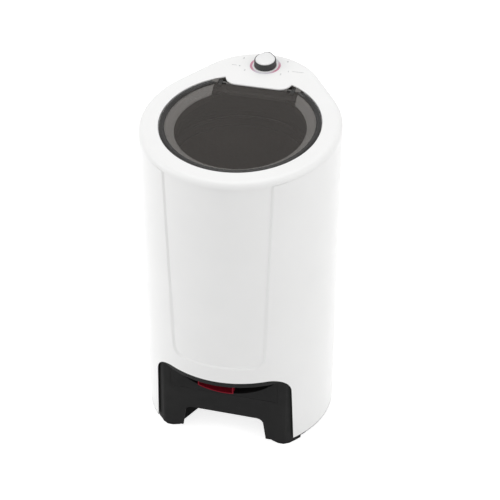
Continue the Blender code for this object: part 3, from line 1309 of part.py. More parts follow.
def build_timer(deck, knob_axis, grey, steel, charcoal, white):
    top = -DECK_THICKNESS - 2 * REST_GAP
    body = box("timer_body", (-TIMER_HALF_WIDTH, KNOB_V - TIMER_HALF_WIDTH, top - TIMER_DEPTH),
               (TIMER_HALF_WIDTH, KNOB_V + TIMER_HALF_WIDTH, top), deck, grey)
    bury = top - TIMER_SHAFT_BURY
    shaft_top = KNOB_WELL - REST_GAP
    boolean(body, cylinder("cutter_timer_bore", (0, KNOB_V, bury - REST_GAP + OVERCUT), TIMER_SHAFT_RADIUS + REST_GAP,
                           OVERCUT * 2, deck, cutter=True))
    cylinder("timer_shaft", (0, 0, (bury + shaft_top) / 2), TIMER_SHAFT_RADIUS, shaft_top - bury, knob_axis, steel,
             segments=12)
    bore = TIMER_SHAFT_RADIUS + REST_GAP
    rim = KNOB_RADIUS - KNOB_TAPER
    inner = rim - KNOB_RIM
    knob = [
        (KNOB_RADIUS, KNOB_LIFT), (bore, KNOB_LIFT), (bore, KNOB_WELL), (inner, KNOB_WELL), (inner, KNOB_SKIRT),
        (rim - KNOB_RIM / 3, KNOB_SKIRT), (rim, KNOB_SKIRT - KNOB_RIM / 3),
    ]
    turned("timer_knob", knob, knob_axis, charcoal, 32)
    cap = inner - REST_GAP
    foot = KNOB_WELL + REST_GAP
    dome = [
        (0, KNOB_HEIGHT), (cap / 2, KNOB_HEIGHT - CAP_DOME / 6), (cap * 5 / 6, KNOB_HEIGHT - CAP_DOME / 2),
        (cap, KNOB_HEIGHT - CAP_DOME), (cap, foot), (0, foot),
    ]
    turned("knob_cap", dome, knob_axis, white, 32)


# Cord gland in the rear wall and the screws that hold the cabinet to the base

GLAND_RADIUS = 0.008
GLAND_BORE = 0.0045
GLAND_FLANGE_RADIUS = 0.013
GLAND_LENGTH = 0.016
SCREW_HEIGHT = BASE_TOP - 0.008
SCREW_RADIUS = 0.002
SCREW_HEAD = 0.004
SCREW_HEAD_HEIGHT = 0.0018
SCREW_LENGTH = 0.010
SCREW_FACET = 3 / 2


def build_gland(machine, shell, black):
    face = REAR_OFFSET + REAR_RADIUS
    gland = [
        (GLAND_FLANGE_RADIUS - SEAT_GAP, face + GLAND_FLANGE), (GLAND_FLANGE_RADIUS, face + REST_GAP),
        (GLAND_RADIUS, face + REST_GAP), (GLAND_RADIUS, face - GLAND_LENGTH), (GLAND_BORE, face - GLAND_LENGTH),
        (GLAND_BORE, face + GLAND_FLANGE),
    ]
    obj = turned("cord_gland", gland, machine, black, 16)
    obj.rotation_euler = (-math.pi / 2, 0, 0)
    obj.location = (0, 0, GLAND_HEIGHT)
    boolean(shell, cylinder("cutter_gland_shell", (0, face, GLAND_HEIGHT), GLAND_RADIUS + SEAT_GAP, OVERCUT * 2,
                            machine, axis="Y", cutter=True))


def build_shell_screws(machine, shell, base, steel):
    step = (math.pi - TANGENT) / REAR_STEPS
    angle = TANGENT + step * SCREW_FACET
    face = REAR_RADIUS * math.cos(step / 2)
    for side, way in (("right", 1), ("left", -1)):
        normal = Vector((way * math.sin(angle), -math.cos(angle), 0))
        turn = UP.rotation_difference(normal).to_euler()
        place = Vector((0, REAR_OFFSET, SCREW_HEIGHT))
        screw = [
            (0, face + SCREW_HEAD_HEIGHT), (SCREW_HEAD, face + SCREW_HEAD_HEIGHT), (SCREW_HEAD, face + REST_GAP),
            (SCREW_RADIUS, face + REST_GAP), (SCREW_RADIUS, face - SCREW_LENGTH), (0, face - SCREW_LENGTH),
        ]
        obj = turned("shell_screw_" + side, screw, machine, steel, 8)
        obj.rotation_euler = turn
        obj.location = place
        hole = cylinder("cutter_screw_" + side, (0, 0, face), SCREW_RADIUS + REST_GAP, OVERCUT * 3, machine,
                        segments=8, cutter=True)
        hole.rotation_euler = turn
        hole.location = place
        boolean(shell, hole)
        boolean(base, hole)


def main():
    clear_scene()
    rear_reach = REAR_OFFSET + REAR_RADIUS + GLAND_FLANGE
    machine = empty("machine", location=(0, (BODY_RADIUS - rear_reach) / 2, 0))
    deck = empty("deck", machine, (0, 0, DECK_HEIGHT), (DECK_TILT, 0, 0))
    spin = empty("spin_axis", machine)
    brake = empty("brake_pivot", machine, (*BRAKE_PIVOT, 0))
    lid_axis = empty("lid_axis", deck, (0, HINGE_V, HINGE_W))
    switch_axis = empty("switch_axis", deck, (SWITCH_X, HINGE_V, HINGE_W))
    knob_axis = empty("knob_axis", deck, (0, KNOB_V, 0))

    white = material("white_plastic", (0.86, 0.86, 0.86), 0.32)
    black = material("black_plastic", (0.022, 0.022, 0.023), 0.45)
    charcoal = material("charcoal_plastic", (0.035, 0.035, 0.037), 0.4)
    smoked = material("smoked_plastic", (0.05, 0.045, 0.042), 0.12, alpha=0.6)
    red = material("red_plastic", (0.14, 0.004, 0.010), 0.35)
    grey = material("grey_plastic", (0.35, 0.35, 0.36), 0.5)
    rubber = material("rubber", (0.018, 0.018, 0.018), 0.8)
    steel = material("stainless_steel", (0.55, 0.55, 0.54), 0.3, 1.0)
    plain_steel = material("plain_steel", (0.42, 0.42, 0.43), 0.4, 1.0)
    cast = material("cast_aluminium", (0.50, 0.50, 0.50), 0.55, 1.0)
    lining = material("brake_lining", (0.16, 0.11, 0.08), 0.9)

    shell = build_cabinet_shell(machine, white)
    cover = build_top_cover(machine, white)
    boolean(cover, cylinder("cutter_timer_hole", (0, KNOB_V, 0), TIMER_SHAFT_RADIUS + SEAT_GAP, OVERCUT * 2, deck,
                            segments=12, cutter=True))
    build_splash_ring(deck, white)
    build_mouth_sleeve(machine, rubber)
    base = build_base_frame(machine, black)
    build_foot_pads(machine, rubber)
    build_drain_spout(machine, red)
    build_drain_hose(machine, rubber)
    build_outer_tub(machine, grey)
    build_tub_cover(machine, white)
    build_shaft_seal(machine, rubber)
    build_basket(spin, steel, grey, plain_steel)
    build_motor(machine, spin, cast, black, plain_steel, rubber)
    build_capacitor(machine, grey, plain_steel)
    build_brake(machine, spin, brake, plain_steel, charcoal, lining)
    build_cables(machine, black)
    build_hinge(deck, lid_axis, switch_axis, black, plain_steel, grey)
    build_lid(deck, lid_axis, smoked)
    build_timer(deck, knob_axis, grey, plain_steel, charcoal, white)
    build_gland(machine, shell, black)
    build_shell_screws(machine, shell, base, plain_steel)


main()
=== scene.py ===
import math

import bmesh
import bpy
from mathutils import Matrix, Vector


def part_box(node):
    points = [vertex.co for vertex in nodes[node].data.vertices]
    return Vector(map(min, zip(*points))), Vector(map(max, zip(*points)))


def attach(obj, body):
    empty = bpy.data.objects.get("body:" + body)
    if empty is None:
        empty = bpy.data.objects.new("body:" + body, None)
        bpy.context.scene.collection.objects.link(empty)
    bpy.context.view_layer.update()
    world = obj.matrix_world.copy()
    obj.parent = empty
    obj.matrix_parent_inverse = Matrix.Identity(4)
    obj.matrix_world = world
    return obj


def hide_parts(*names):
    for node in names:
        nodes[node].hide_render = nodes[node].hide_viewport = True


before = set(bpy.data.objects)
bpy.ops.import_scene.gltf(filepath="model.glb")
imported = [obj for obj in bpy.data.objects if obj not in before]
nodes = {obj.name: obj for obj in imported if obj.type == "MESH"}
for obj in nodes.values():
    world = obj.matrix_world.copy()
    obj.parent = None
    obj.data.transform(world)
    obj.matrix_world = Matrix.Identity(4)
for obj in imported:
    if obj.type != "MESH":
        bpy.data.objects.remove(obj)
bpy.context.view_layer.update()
tubLow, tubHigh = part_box("outer_tub")
spinY = (tubLow[1] + tubHigh[1]) / 2          # the basket turns about a line at this y
hair = 0.0001                                 # the gap left between shapes that meet
weld = 0.00001                                # corners nearer than this become one
ringSteps = 144                               # columns round the larger rings
print("frame loaded,", len(nodes), "CAD nodes")

# The cabinet's plan, a round front and a smaller round back, and the sloping deck over it
cabinet = {"frontRadius": 0.210, "rearRadius": 0.146, "rearOffset": 0.109,
           "deckHeight": 0.7287, "deckTilt": 6.85, "edgeRound": 0.0125,
           "sideSteps": 30, "flankSteps": 8, "rearSteps": 20}
tangent = math.pi / 2 + math.asin((cabinet["frontRadius"] - cabinet["rearRadius"]) / cabinet["rearOffset"])
deckSlope = math.tan(math.radians(cabinet["deckTilt"]))
deckPlace = (Matrix.Translation((0, spinY, cabinet["deckHeight"]))
             @ Matrix.Rotation(math.radians(cabinet["deckTilt"]), 4, "X"))


# Finishes, mixed in Object coordinates so that they stay put on a piece that moves

def newFinish(name):
    finish = bpy.data.materials.new(name)
    finish.use_nodes = True
    return finish, finish.node_tree, finish.node_tree.nodes["Principled BSDF"]


def setInputs(node, values):
    for name, value in values.items():
        node.inputs[name].default_value = value


def addNode(tree, kind, place, **values):
    node = tree.nodes.new(kind)
    node.location = place
    for name, value in values.items():
        if name in node.inputs:
            node.inputs[name].default_value = value
        else:
            setattr(node, name, value)
    return node


def wire(source, output, target, socket):
    source.id_data.links.new(source.outputs[output], target.inputs[socket])


def makeFinish(name, look):
    # A moulded, rubber or metal finish: cloudy colour, uneven gloss and a fine surface
    finish, tree, shader = newFinish(name)
    setInputs(shader, {"Metallic": look.get("metal", 0.0), "Alpha": look.get("alpha", 1.0),
                       "Specular IOR Level": look.get("specular", 0.5)})
    where = addNode(tree, "ShaderNodeTexCoord", (-1200, 0))
    spread = addNode(tree, "ShaderNodeMapping", (-1000, 0), Scale=look.get("stretch", (1, 1, 1)))
    wire(where, "Object", spread, "Vector")
    low, high = 0.3, 0.7                       # the noise seldom leaves this range

    cloud = addNode(tree, "ShaderNodeTexNoise", (-800, 300), Scale=look.get("cloudScale", 9.0), Detail=3.0)
    tones = addNode(tree, "ShaderNodeValToRGB", (-550, 300))
    dark, pale = tones.color_ramp.elements
    dark.position, dark.color = low, (*look["dark"], 1)
    pale.position, pale.color = high, (*look["colour"], 1)
    wire(where, "Object", cloud, "Vector")
    wire(cloud, "Fac", tones, "Fac")
    wire(tones, "Color", shader, "Base Color")

    gloss = addNode(tree, "ShaderNodeTexNoise", (-800, 0), Scale=look.get("glossScale", 35.0), Detail=4.0)
    uneven = addNode(tree, "ShaderNodeMapRange", (-550, 0))
    roughSpread = look.get("roughSpread", 0.04)
    setInputs(uneven, {"From Min": low, "From Max": high, "To Min": look["rough"] - roughSpread,
                       "To Max": look["rough"] + roughSpread})
    wire(spread, "Vector", gloss, "Vector")
    wire(gloss, "Fac", uneven, "Value")
    wire(uneven, "Result", shader, "Roughness")

    if look.get("grain"):
        grain = addNode(tree, "ShaderNodeTexNoise", (-800, -300), Scale=look["grain"],
                        Detail=look.get("grainDetail", 2.0))
        bump = addNode(tree, "ShaderNodeBump", (-550, -300), Strength=look.get("grainStrength", 0.3),
                       Distance=look.get("grainDepth", 0.0002))
        wire(spread, "Vector", grain, "Vector")
        wire(grain, "Fac", bump, "Height")
        wire(bump, "Normal", shader, "Normal")
    return finish


finishes = {
    "glossWhite": {"colour": (0.88, 0.88, 0.875), "dark": (0.86, 0.86, 0.855), "rough": 0.32, "grain": 260,
                   "grainStrength": 0.12, "grainDepth": 0.0001},
    "innerWhite": {"colour": (0.80, 0.80, 0.79), "dark": (0.77, 0.77, 0.755), "rough": 0.42, "grain": 420,
                   "grainStrength": 0.15},
    "capWhite": {"colour": (0.82, 0.82, 0.82), "dark": (0.80, 0.80, 0.80), "rough": 0.36, "grain": 420,
                 "grainStrength": 0.1, "grainDepth": 0.0001},
    "mouthCream": {"colour": (0.88, 0.855, 0.82), "dark": (0.86, 0.83, 0.795), "rough": 0.38, "grain": 420,
                   "grainStrength": 0.12},
    "baseBlack": {"colour": (0.0105, 0.0105, 0.0105), "dark": (0.0085, 0.0085, 0.0088), "rough": 0.66,
                  "grain": 1100, "grainStrength": 0.35, "grainDepth": 0.00012, "specular": 0.16},
    # near black that is painted shade: it darkens the base's arch wall and the sleeve's lip in place of their
    # shade
    "paintedShadeBlack": {"colour": (0.004, 0.004, 0.004), "dark": (0.003, 0.003, 0.003), "rough": 0.8, "grain": 900,
                  "specular": 0.06},
    "workBlack": {"colour": (0.018, 0.018, 0.019), "dark": (0.012, 0.012, 0.013), "rough": 0.5, "grain": 900},
    "rubberBlack": {"colour": (0.025, 0.025, 0.025), "dark": (0.015, 0.015, 0.015), "rough": 0.8,
                    "grain": 1500, "grainStrength": 0.05, "specular": 0.12},
    "ringBlack": {"colour": (0.022, 0.021, 0.020), "dark": (0.016, 0.015, 0.015), "rough": 0.7, "grain": 600,
                  "specular": 0.10},
    "charcoal": {"colour": (0.030, 0.032, 0.033), "dark": (0.024, 0.025, 0.026), "rough": 0.42, "grain": 1300,
                 "grainStrength": 0.25},
    # dark brown that is painted shade, for the collar's skirt
    "skirtShadeBrown": {"colour": (0.070, 0.062, 0.054), "dark": (0.060, 0.053, 0.046), "rough": 0.8, "grain": 900,
                  "grainStrength": 0.06, "specular": 0.1},
    # grey that is painted shade, for the shaded hinge well and the hinge block seen in it
    "hingeShadeGrey": {"colour": (0.150, 0.143, 0.136), "dark": (0.135, 0.128, 0.122), "rough": 0.6, "grain": 900,
                 "specular": 0.2},
    "tubGrey": {"colour": (0.42, 0.43, 0.44), "dark": (0.37, 0.38, 0.39), "rough": 0.55, "grain": 500},
    "printGrey": {"colour": (0.33, 0.33, 0.34), "dark": (0.27, 0.27, 0.28), "rough": 0.4, "cloudScale": 900},
    "spoutRed": {"colour": (0.250, 0.007, 0.021), "dark": (0.215, 0.006, 0.017), "rough": 0.7, "grain": 700,
                 "grainStrength": 0.2, "specular": 0.12},
    "smokedClear": {"colour": (0.060, 0.052, 0.046), "dark": (0.052, 0.045, 0.040), "rough": 0.09,
                    "roughSpread": 0.02, "alpha": 0.40},
    "smokedThick": {"colour": (0.028, 0.027, 0.026), "dark": (0.024, 0.023, 0.022), "rough": 0.10,
                    "roughSpread": 0.02, "alpha": 0.86},
    "brushedSteel": {"colour": (0.42, 0.42, 0.415), "dark": (0.37, 0.37, 0.365), "metal": 1.0, "rough": 0.40,
                     "roughSpread": 0.05, "stretch": (6, 6, 240), "glossScale": 8.0, "grain": 12.0,
                     "grainStrength": 0.03, "grainDepth": 0.0001, "grainDetail": 4.0},
    # dark grey for the hinge pins, in place of bright steel: painted shade for the shaded hinge corner
    "pinShadeSteel": {"colour": (0.14, 0.135, 0.13), "dark": (0.12, 0.116, 0.112), "metal": 0.3,
                       "rough": 0.5, "grain": 700, "grainStrength": 0.15},
    "plainSteel": {"colour": (0.52, 0.52, 0.52), "dark": (0.42, 0.42, 0.415), "metal": 1.0, "rough": 0.36,
                   "roughSpread": 0.08, "grain": 600, "grainStrength": 0.12},
    "castAluminium": {"colour": (0.58, 0.58, 0.575), "dark": (0.46, 0.46, 0.455), "metal": 1.0,
                      "rough": 0.52, "roughSpread": 0.08, "grain": 380, "grainStrength": 0.5},
    "brakeLining": {"colour": (0.10, 0.075, 0.05), "dark": (0.05, 0.04, 0.03), "cloudScale": 220,
                    "rough": 0.85, "grain": 900, "grainStrength": 0.6},
}
looks = {name: makeFinish(name, look) for name, look in finishes.items()}

# Carried-over CAD nodes take these
slotLooks = {"white_plastic": "innerWhite", "black_plastic": "workBlack", "charcoal_plastic": "charcoal",
             "smoked_plastic": "smokedClear", "red_plastic": "spoutRed", "grey_plastic": "tubGrey",
             "rubber": "rubberBlack", "stainless_steel": "brushedSteel", "plain_steel": "plainSteel",
             "cast_aluminium": "castAluminium", "brake_lining": "brakeLining"}
for name, obj in nodes.items():
    for slot in obj.material_slots:
        look = slotLooks[slot.material.name.split(".")[0]]
        # the hinge pins are darkened as painted shade for the hinge corner
        slot.material = looks["pinShadeSteel" if name.startswith("hinge_pin") else look]
print("finishes made:", len(looks))


# Drawing helpers

def vertsOf(geom):
    return [g for g in geom if isinstance(g, bmesh.types.BMVert)]


def everything(bm):
    return bm.verts[:] + bm.edges[:] + bm.faces[:]


def setHeight(verts, height):
    for vert in verts:
        vert.co.z = height


def merge(bm, reach=weld):
    bmesh.ops.remove_doubles(bm, verts=bm.verts, dist=reach)


def moveBy(bm, way):
    bmesh.ops.translate(bm, verts=bm.verts, vec=way)
    return bm


def turnBy(bm, degrees, axis, verts=None):
    bmesh.ops.rotate(bm, verts=verts or bm.verts, cent=(0, 0, 0),
                     matrix=Matrix.Rotation(math.radians(degrees), 3, axis))
    return bm


def toDeck(bm):
    bmesh.ops.transform(bm, matrix=deckPlace, verts=bm.verts)
    return bm


def toSpinLine(bm):
    return moveBy(bm, (0, spinY, 0))


def drawPath(bm, start, moves):
    # A line of edges from a point: each move is a straight run (end, steps) or, in the ground plane, a swing
    # (centre, degrees, steps)
    last = bm.verts.new(start)
    for move in moves:
        if len(move) == 2:
            end, steps = move
            stride = (Vector(end) - last.co) / steps
            for _ in range(steps):
                last = bmesh.ops.extrude_vert_indiv(bm, verts=[last])["verts"][0]
                bmesh.ops.translate(bm, verts=[last], vec=stride)
        else:
            centre, degrees, steps = move
            swung = bmesh.ops.spin(bm, geom=[last], cent=centre, axis=(0, 0, 1), angle=math.radians(degrees),
                                   steps=steps, use_duplicate=False)
            last = vertsOf(swung["geom_last"])[0]


def mirrorAll(bm):
    bmesh.ops.mirror(bm, geom=everything(bm), matrix=Matrix.Identity(4), merge_dist=2 * weld, axis="X")
    merge(bm)


def nextRow(bm, edges):
    # A line of edges grows a new row of faces, whose far edges and corners come back
    grown = bmesh.ops.extrude_edge_only(bm, edges=edges)["geom"]
    return [g for g in grown if isinstance(g, bmesh.types.BMEdge)], vertsOf(grown)


def slab(bm, depth):
    # A drawn closed outline in the ground plane becomes a plate of this depth, downwards
    face = bmesh.ops.contextual_create(bm, geom=bm.edges[:])["faces"][0]
    grown = bmesh.ops.extrude_face_region(bm, geom=[face])
    bmesh.ops.translate(bm, verts=vertsOf(grown["geom"]), vec=(0, 0, -depth))


def turnOut(bm):
    # A closed shape is merged and its faces point outwards
    merge(bm, weld / 10)
    bmesh.ops.recalc_face_normals(bm, faces=bm.faces)
    if bm.calc_volume(signed=True) < 0:
        bmesh.ops.reverse_faces(bm, faces=bm.faces)


def faceOut(bm, y):
    # A sheet round the upright line at this y has its faces point away from it
    line = Vector((0, y))
    bmesh.ops.recalc_face_normals(bm, faces=bm.faces)
    farthest = max(bm.faces, key=lambda f: (f.calc_center_median().xy - line).length)
    if farthest.normal.xy.dot(farthest.calc_center_median().xy - line) < 0:
        bmesh.ops.reverse_faces(bm, faces=bm.faces)


def spun(profile, steps, turn=360.0, start=0.0, closed=True):
    # A (radius, height) profile swung about the upright axis
    bm = bmesh.new()
    points = [bm.verts.new((r, 0, z)) for r, z in profile]
    for a, b in zip(points, points[1:]):
        bm.edges.new((a, b))
    if closed:
        bm.edges.new((points[-1], points[0]))
    if turn < 360:
        bmesh.ops.contextual_create(bm, geom=bm.edges[:])
    turnBy(bm, start, "Z")
    bmesh.ops.spin(bm, geom=everything(bm), cent=(0, 0, 0), axis=(0, 0, 1), angle=math.radians(turn),
                   steps=steps, use_merge=turn >= 360, use_duplicate=False)
    turnOut(bm)
    return bm


def block(low, high):
    bm = bmesh.new()
    bmesh.ops.create_cube(bm, size=1.0)
    bmesh.ops.scale(bm, verts=bm.verts, vec=[b - a for a, b in zip(low, high)])
    return moveBy(bm, [(a + b) / 2 for a, b in zip(low, high)])


def rod(radius, length, segments):
    bm = bmesh.new()
    bmesh.ops.create_cone(bm, cap_ends=True, segments=segments, radius1=radius, radius2=radius, depth=length)
    return bm


# Helpers that make a drawn shape a piece and finish it

def toMesh(name, bm):
    mesh = bpy.data.meshes.new(name)
    bm.to_mesh(mesh)
    bm.free()
    return mesh


def addObject(name, data):
    obj = bpy.data.objects.new(name, data)
    bpy.context.scene.collection.objects.link(obj)
    return obj


def smooth(mesh, sharp):
    mesh.shade_smooth()
    mesh.set_sharp_from_angle(angle=math.radians(sharp))


def addPiece(name, bm, look, ridesOn, standsFor=(), sharp=35):
    mesh = toMesh(name, bm)
    smooth(mesh, sharp)
    mesh.materials.append(looks[look])
    obj = addObject(name, mesh)
    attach(obj, ridesOn)
    if standsFor:
        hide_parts(*standsFor)
    return obj


def meshNow(obj):
    return bpy.data.meshes.new_from_object(obj.evaluated_get(bpy.context.evaluated_depsgraph_get()))


def settle(obj, sharp=35):
    # The modifiers so far become the mesh
    mesh = meshNow(obj)
    obj.modifiers.clear()
    obj.data = mesh
    smooth(mesh, sharp)


def thicken(obj, wall, sharp=35):
    # The sheet is the outside, and the wall grows inwards
    solid = obj.modifiers.new("wall", "SOLIDIFY")
    solid.thickness = wall
    solid.offset = -1
    settle(obj, sharp)


def carve(obj, bm, operation="DIFFERENCE"):
    # Cuts a closed shape out of a piece, or joins it on, and drops the tool
    turnOut(bm)
    tool = addObject("tool", toMesh("tool", bm))
    cut = obj.modifiers.new("carve", "BOOLEAN")
    cut.operation = operation
    cut.solver = "EXACT"
    cut.object = tool
    bpy.context.view_layer.update()
    settle(obj)
    bpy.data.objects.remove(tool, do_unlink=True)


def softenEdges(obj, width, angle=38, segments=2):
    edge = obj.modifiers.new("edges", "BEVEL")
    edge.width = width
    edge.segments = segments
    edge.limit_method = "ANGLE"
    edge.angle_limit = math.radians(angle)
    edge.use_clamp_overlap = True
    edge.harden_normals = True


# Cord gland in the rear wall. Rounds are steps in from an edge and down from a face.

gland = {"height": 0.090, "radius": 0.008, "bore": 0.0045, "boreRound": 0.0009, "flange": 0.013,
         "flangeRound": [(0.0032, 0.0), (0.0012, 0.0004), (0.0, 0.0015)], "proud": 0.0025, "seat": 0.0003,
         "length": 0.016, "steps": 64, "holeGap": 0.0002, "holeDepth": 0.03, "holeSteps": 48}


def layOnRear(bm):
    # A shape about the upright axis is laid along the way out of the rear wall, at the cord's place
    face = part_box("cord_gland")[1][1] - gland["proud"]
    return moveBy(turnBy(bm, -90, "X"), (0, face, gland["height"]))


def buildGland():
    g = gland
    face = [(g["bore"] + g["boreRound"], g["proud"])]
    face += [(g["flange"] - inwards, g["proud"] - down) for inwards, down in g["flangeRound"]]
    stem = [(g["flange"], g["seat"]), (g["radius"], g["seat"]), (g["radius"], -g["length"]),
            (g["bore"], -g["length"]), (g["bore"], g["proud"] - g["boreRound"])]
    addPiece("cord_bush", layOnRear(spun(face + stem, g["steps"])), "rubberBlack", "cabinet",
             ("cord_gland",), sharp=40)


# Cabinet wall with its pressed-in shield, and a dark strip under it that is painted shade. Columns are (reach
# along the wall, steps).

shell = {"foot": 0.023, "wall": 0.003, "seamGap": 0.0002, "edge": 0.0007,
         "columns": [(0.086, 12), (0.134, 32), (0.170, 6)], "lowRows": [0.09, 0.16, 0.225],
         "fineFrom": 0.233, "fineStep": 0.002, "fineRows": 24, "midRow": 0.285,
         "leanFrom": 0.30, "leanRows": 12,
         "shieldFoot": 0.245, "shieldTop": 0.691, "shieldFootHalf": 0.104, "shieldTopHalf": 0.120,
         "shieldCorner": 0.024, "shieldDepth": 0.0034, "shieldEdge": 0.0046,
         "followLine": 0.110, "followWidth": 0.055, "followTurn": 1.0}
opening = {"top": 0.206, "half": 0.152, "flare": 0.005, "corner": 0.048, "cornerSteps": 14, "below": 0.01,
           "front": 0.24, "depth": 0.2}
# the strip's dark line is painted shade
shadeLineStrip = {"columns": [(0.170, 30)], "drop": 0.0013}


def wallNormal(point):
    # Which way the cabinet's wall faces at a point of its plan
    y = point.y - spinY
    angle = math.atan2(point.x, -y)
    if abs(angle) > tangent:
        rearAngle = math.atan2(point.x, -(y - cabinet["rearOffset"]))
        angle = math.copysign(max(abs(rearAngle), tangent), point.x)
    return Vector((math.sin(angle), -math.cos(angle), 0))


def deckLevel(point, drop):
    return cabinet["deckHeight"] + (point.y - spinY) * deckSlope - drop


def planOutline(bm, columns):
    # Right half of the plan from the front to the back, then mirrored
    rearY = spinY + cabinet["rearOffset"]
    done = 0.0
    moves = []
    for reach, steps in columns + [(tangent * cabinet["frontRadius"], cabinet["sideSteps"])]:
        angle = math.degrees(reach / cabinet["frontRadius"])
        moves.append(((0, spinY, 0), angle - done, steps))
        done = angle
    way = Vector((math.sin(tangent), -math.cos(tangent), 0))
    moves.append((Vector((0, rearY, 0)) + way * cabinet["rearRadius"], cabinet["flankSteps"]))
    moves.append(((0, rearY, 0), 180 - math.degrees(tangent), cabinet["rearSteps"]))
    drawPath(bm, (0, spinY - cabinet["frontRadius"], 0), moves)
    mirrorAll(bm)


def smoothStep(value):
    value = min(max(value, 0), 1)
    return value * value * (3 - 2 * value)


def shieldHalf(height):
    share = min(max((height - shell["shieldFoot"]) / (shell["shieldTop"] - shell["shieldFoot"]), 0), 1)
    return shell["shieldFootHalf"] + (shell["shieldTopHalf"] - shell["shieldFootHalf"]) * share


def shieldDepthAt(reach, height):
    # How far the wall is pressed in at this distance along the wall and this height
    corner = shell["shieldCorner"]
    across = abs(reach) - (shieldHalf(height) - corner)
    below = shell["shieldFoot"] + corner - height
    outside = math.hypot(max(across, 0), max(below, 0)) + min(max(across, below), 0) - corner
    return shell["shieldDepth"] * smoothStep(0.5 - outside / shell["shieldEdge"])


def frontOpening():
    # The cut-out that the base's front shows through
    o = opening
    inner, foot = o["half"] - o["corner"], shell["foot"] - o["below"]
    bm = bmesh.new()
    drawPath(bm, (0, o["top"], 0), [
        ((inner, o["top"], 0), 1), ((inner, o["top"] - o["corner"], 0), -90, o["cornerSteps"]),
        ((o["half"] + o["flare"], foot, 0), 1), ((0, foot, 0), 1)])
    mirrorAll(bm)
    slab(bm, o["depth"])
    return moveBy(turnBy(bm, 90, "X"), (0, spinY - o["front"], 0))


def buildCabinet():
    s = shell
    lean, top, front = s["leanFrom"], s["shieldTop"], cabinet["frontRadius"]
    bm = bmesh.new()
    planOutline(bm, s["columns"])
    setHeight(bm.verts, s["foot"])
    edges = bm.edges[:]
    rows = s["lowRows"] + [s["fineFrom"] + s["fineStep"] * k for k in range(s["fineRows"])]
    rows += [s["midRow"], lean]
    rows += [lean + (top - lean) * k / s["leanRows"] for k in range(1, s["leanRows"] + 1)]
    for height in rows:
        edges, verts = nextRow(bm, edges)
        setHeight(verts, height)
    for vert in bm.verts:
        height = vert.co.z
        if height > lean:                                  # upper rows lean with the deck
            share = (height - lean) / (top - lean)
            height = lean + (deckLevel(vert.co, cabinet["edgeRound"] + s["seamGap"]) - lean) * share
        angle = math.atan2(vert.co.x, spinY - vert.co.y)
        if abs(angle) < s["followTurn"]:                   # columns follow the shield's slanting sides
            reach = angle * front
            follow = 1 - smoothStep(abs(abs(reach) - s["followLine"]) / s["followWidth"])
            if abs(reach) > hair:
                reach += math.copysign((shieldHalf(height) - s["followLine"]) * follow, reach)
            radius = front - shieldDepthAt(reach, height)
            vert.co.x = radius * math.sin(reach / front)
            vert.co.y = spinY - radius * math.cos(reach / front)
        vert.co.z = height
    faceOut(bm, spinY)
    piece = addPiece("cabinet_wall", bm, "glossWhite", "cabinet", ("cabinet_shell",))
    thicken(piece, s["wall"])
    carve(piece, frontOpening())
    carve(piece, layOnRear(rod(gland["radius"] + gland["holeGap"], gland["holeDepth"], gland["holeSteps"])))
    softenEdges(piece, s["edge"])


def buildShadeLineStrip():
    # A thin dark strip along the sheet's lower edge: painted shade, standing for the shadow line under the
    # cabinet's bottom edge
    bm = bmesh.new()
    planOutline(bm, shadeLineStrip["columns"])
    setHeight(bm.verts, shell["foot"] - hair)
    setHeight(nextRow(bm, bm.edges[:])[1], shell["foot"] - shadeLineStrip["drop"])
    faceOut(bm, spinY)
    piece = addPiece("shade_line_strip", bm, "rubberBlack", "cabinet")
    thicken(piece, shell["wall"])
    carve(piece, frontOpening())


# Deck with its mouth and tongue, and the step and hinge well in the mouth, drawn flat and laid on the deck

cover = {"columns": [(0.170, 24)], "thickness": 0.003, "roundRows": 10, "edgeFlat": 0.002,
         "lap": 0.0033, "lapDrop": 0.024}
mouth = {"radius": 0.1682, "centre": -0.004, "tongueFront": 0.125, "tongueHalf": 0.0725,
         "tongueCorner": 0.028, "tongueTurn": 22.0, "lip": 0.0012, "lipFlat": 0.001,
         "lipRound": [(1, 0), (0.62, 0.08), (0.29, 0.29), (0.08, 0.62), (0, 1)],
         "ledge": 0.0083, "ledgeRadius": 0.150, "well": 0.0223, "wellTurn": 38.0, "wellSide": 0.8,
         "roundSteps": 60, "cornerSteps": 10, "frontSteps": 4, "ledgeSteps": 110, "wellSteps": 30}


def mouthOutline(bm, grow):
    # The mouth, larger by this much, with the tongue across its rear
    m = mouth
    radius = m["radius"] + grow
    meet = 180 - math.degrees(math.asin(m["tongueHalf"] / radius))
    pivot = Vector((m["tongueHalf"] - m["tongueCorner"], m["tongueFront"] + m["tongueCorner"], 0))
    turn = math.radians(-m["tongueTurn"])
    startArc = pivot + Vector((math.cos(turn), math.sin(turn), 0)) * (m["tongueCorner"] - grow)
    old = set(bm.verts)
    drawPath(bm, (0, m["centre"] - radius, 0), [
        ((0, m["centre"], 0), meet, m["roundSteps"]), (startArc, 1),
        (pivot, m["tongueTurn"] - 90, m["cornerSteps"]),
        ((0, m["tongueFront"] + grow, 0), m["frontSteps"])])
    mine = [v for v in bm.verts if v not in old]
    lines = [e for e in bm.edges if e.verts[0] not in old and e.verts[1] not in old]
    bmesh.ops.mirror(bm, geom=mine + lines, matrix=Matrix.Identity(4), merge_dist=2 * weld, axis="X")
    bmesh.ops.remove_doubles(bm, verts=[v for v in bm.verts if v not in old], dist=weld)
    return [v for v in bm.verts if v not in old], [e for e in bm.edges if e.verts[0] not in old]


def placeRow(verts, inwards, drop):
    for vert in verts:
        vert.co = vert.co - wallNormal(vert.co) * inwards
        vert.co.z = deckLevel(vert.co, drop)


def coverRows(bm, edges, inset, rows):
    # From this inset on, each new row has its own inset from the wall and drop from the deck
    for nextInset, drop in rows:
        edges, verts = nextRow(bm, edges)
        placeRow(verts, nextInset - inset, drop)
        inset = nextInset
    return edges


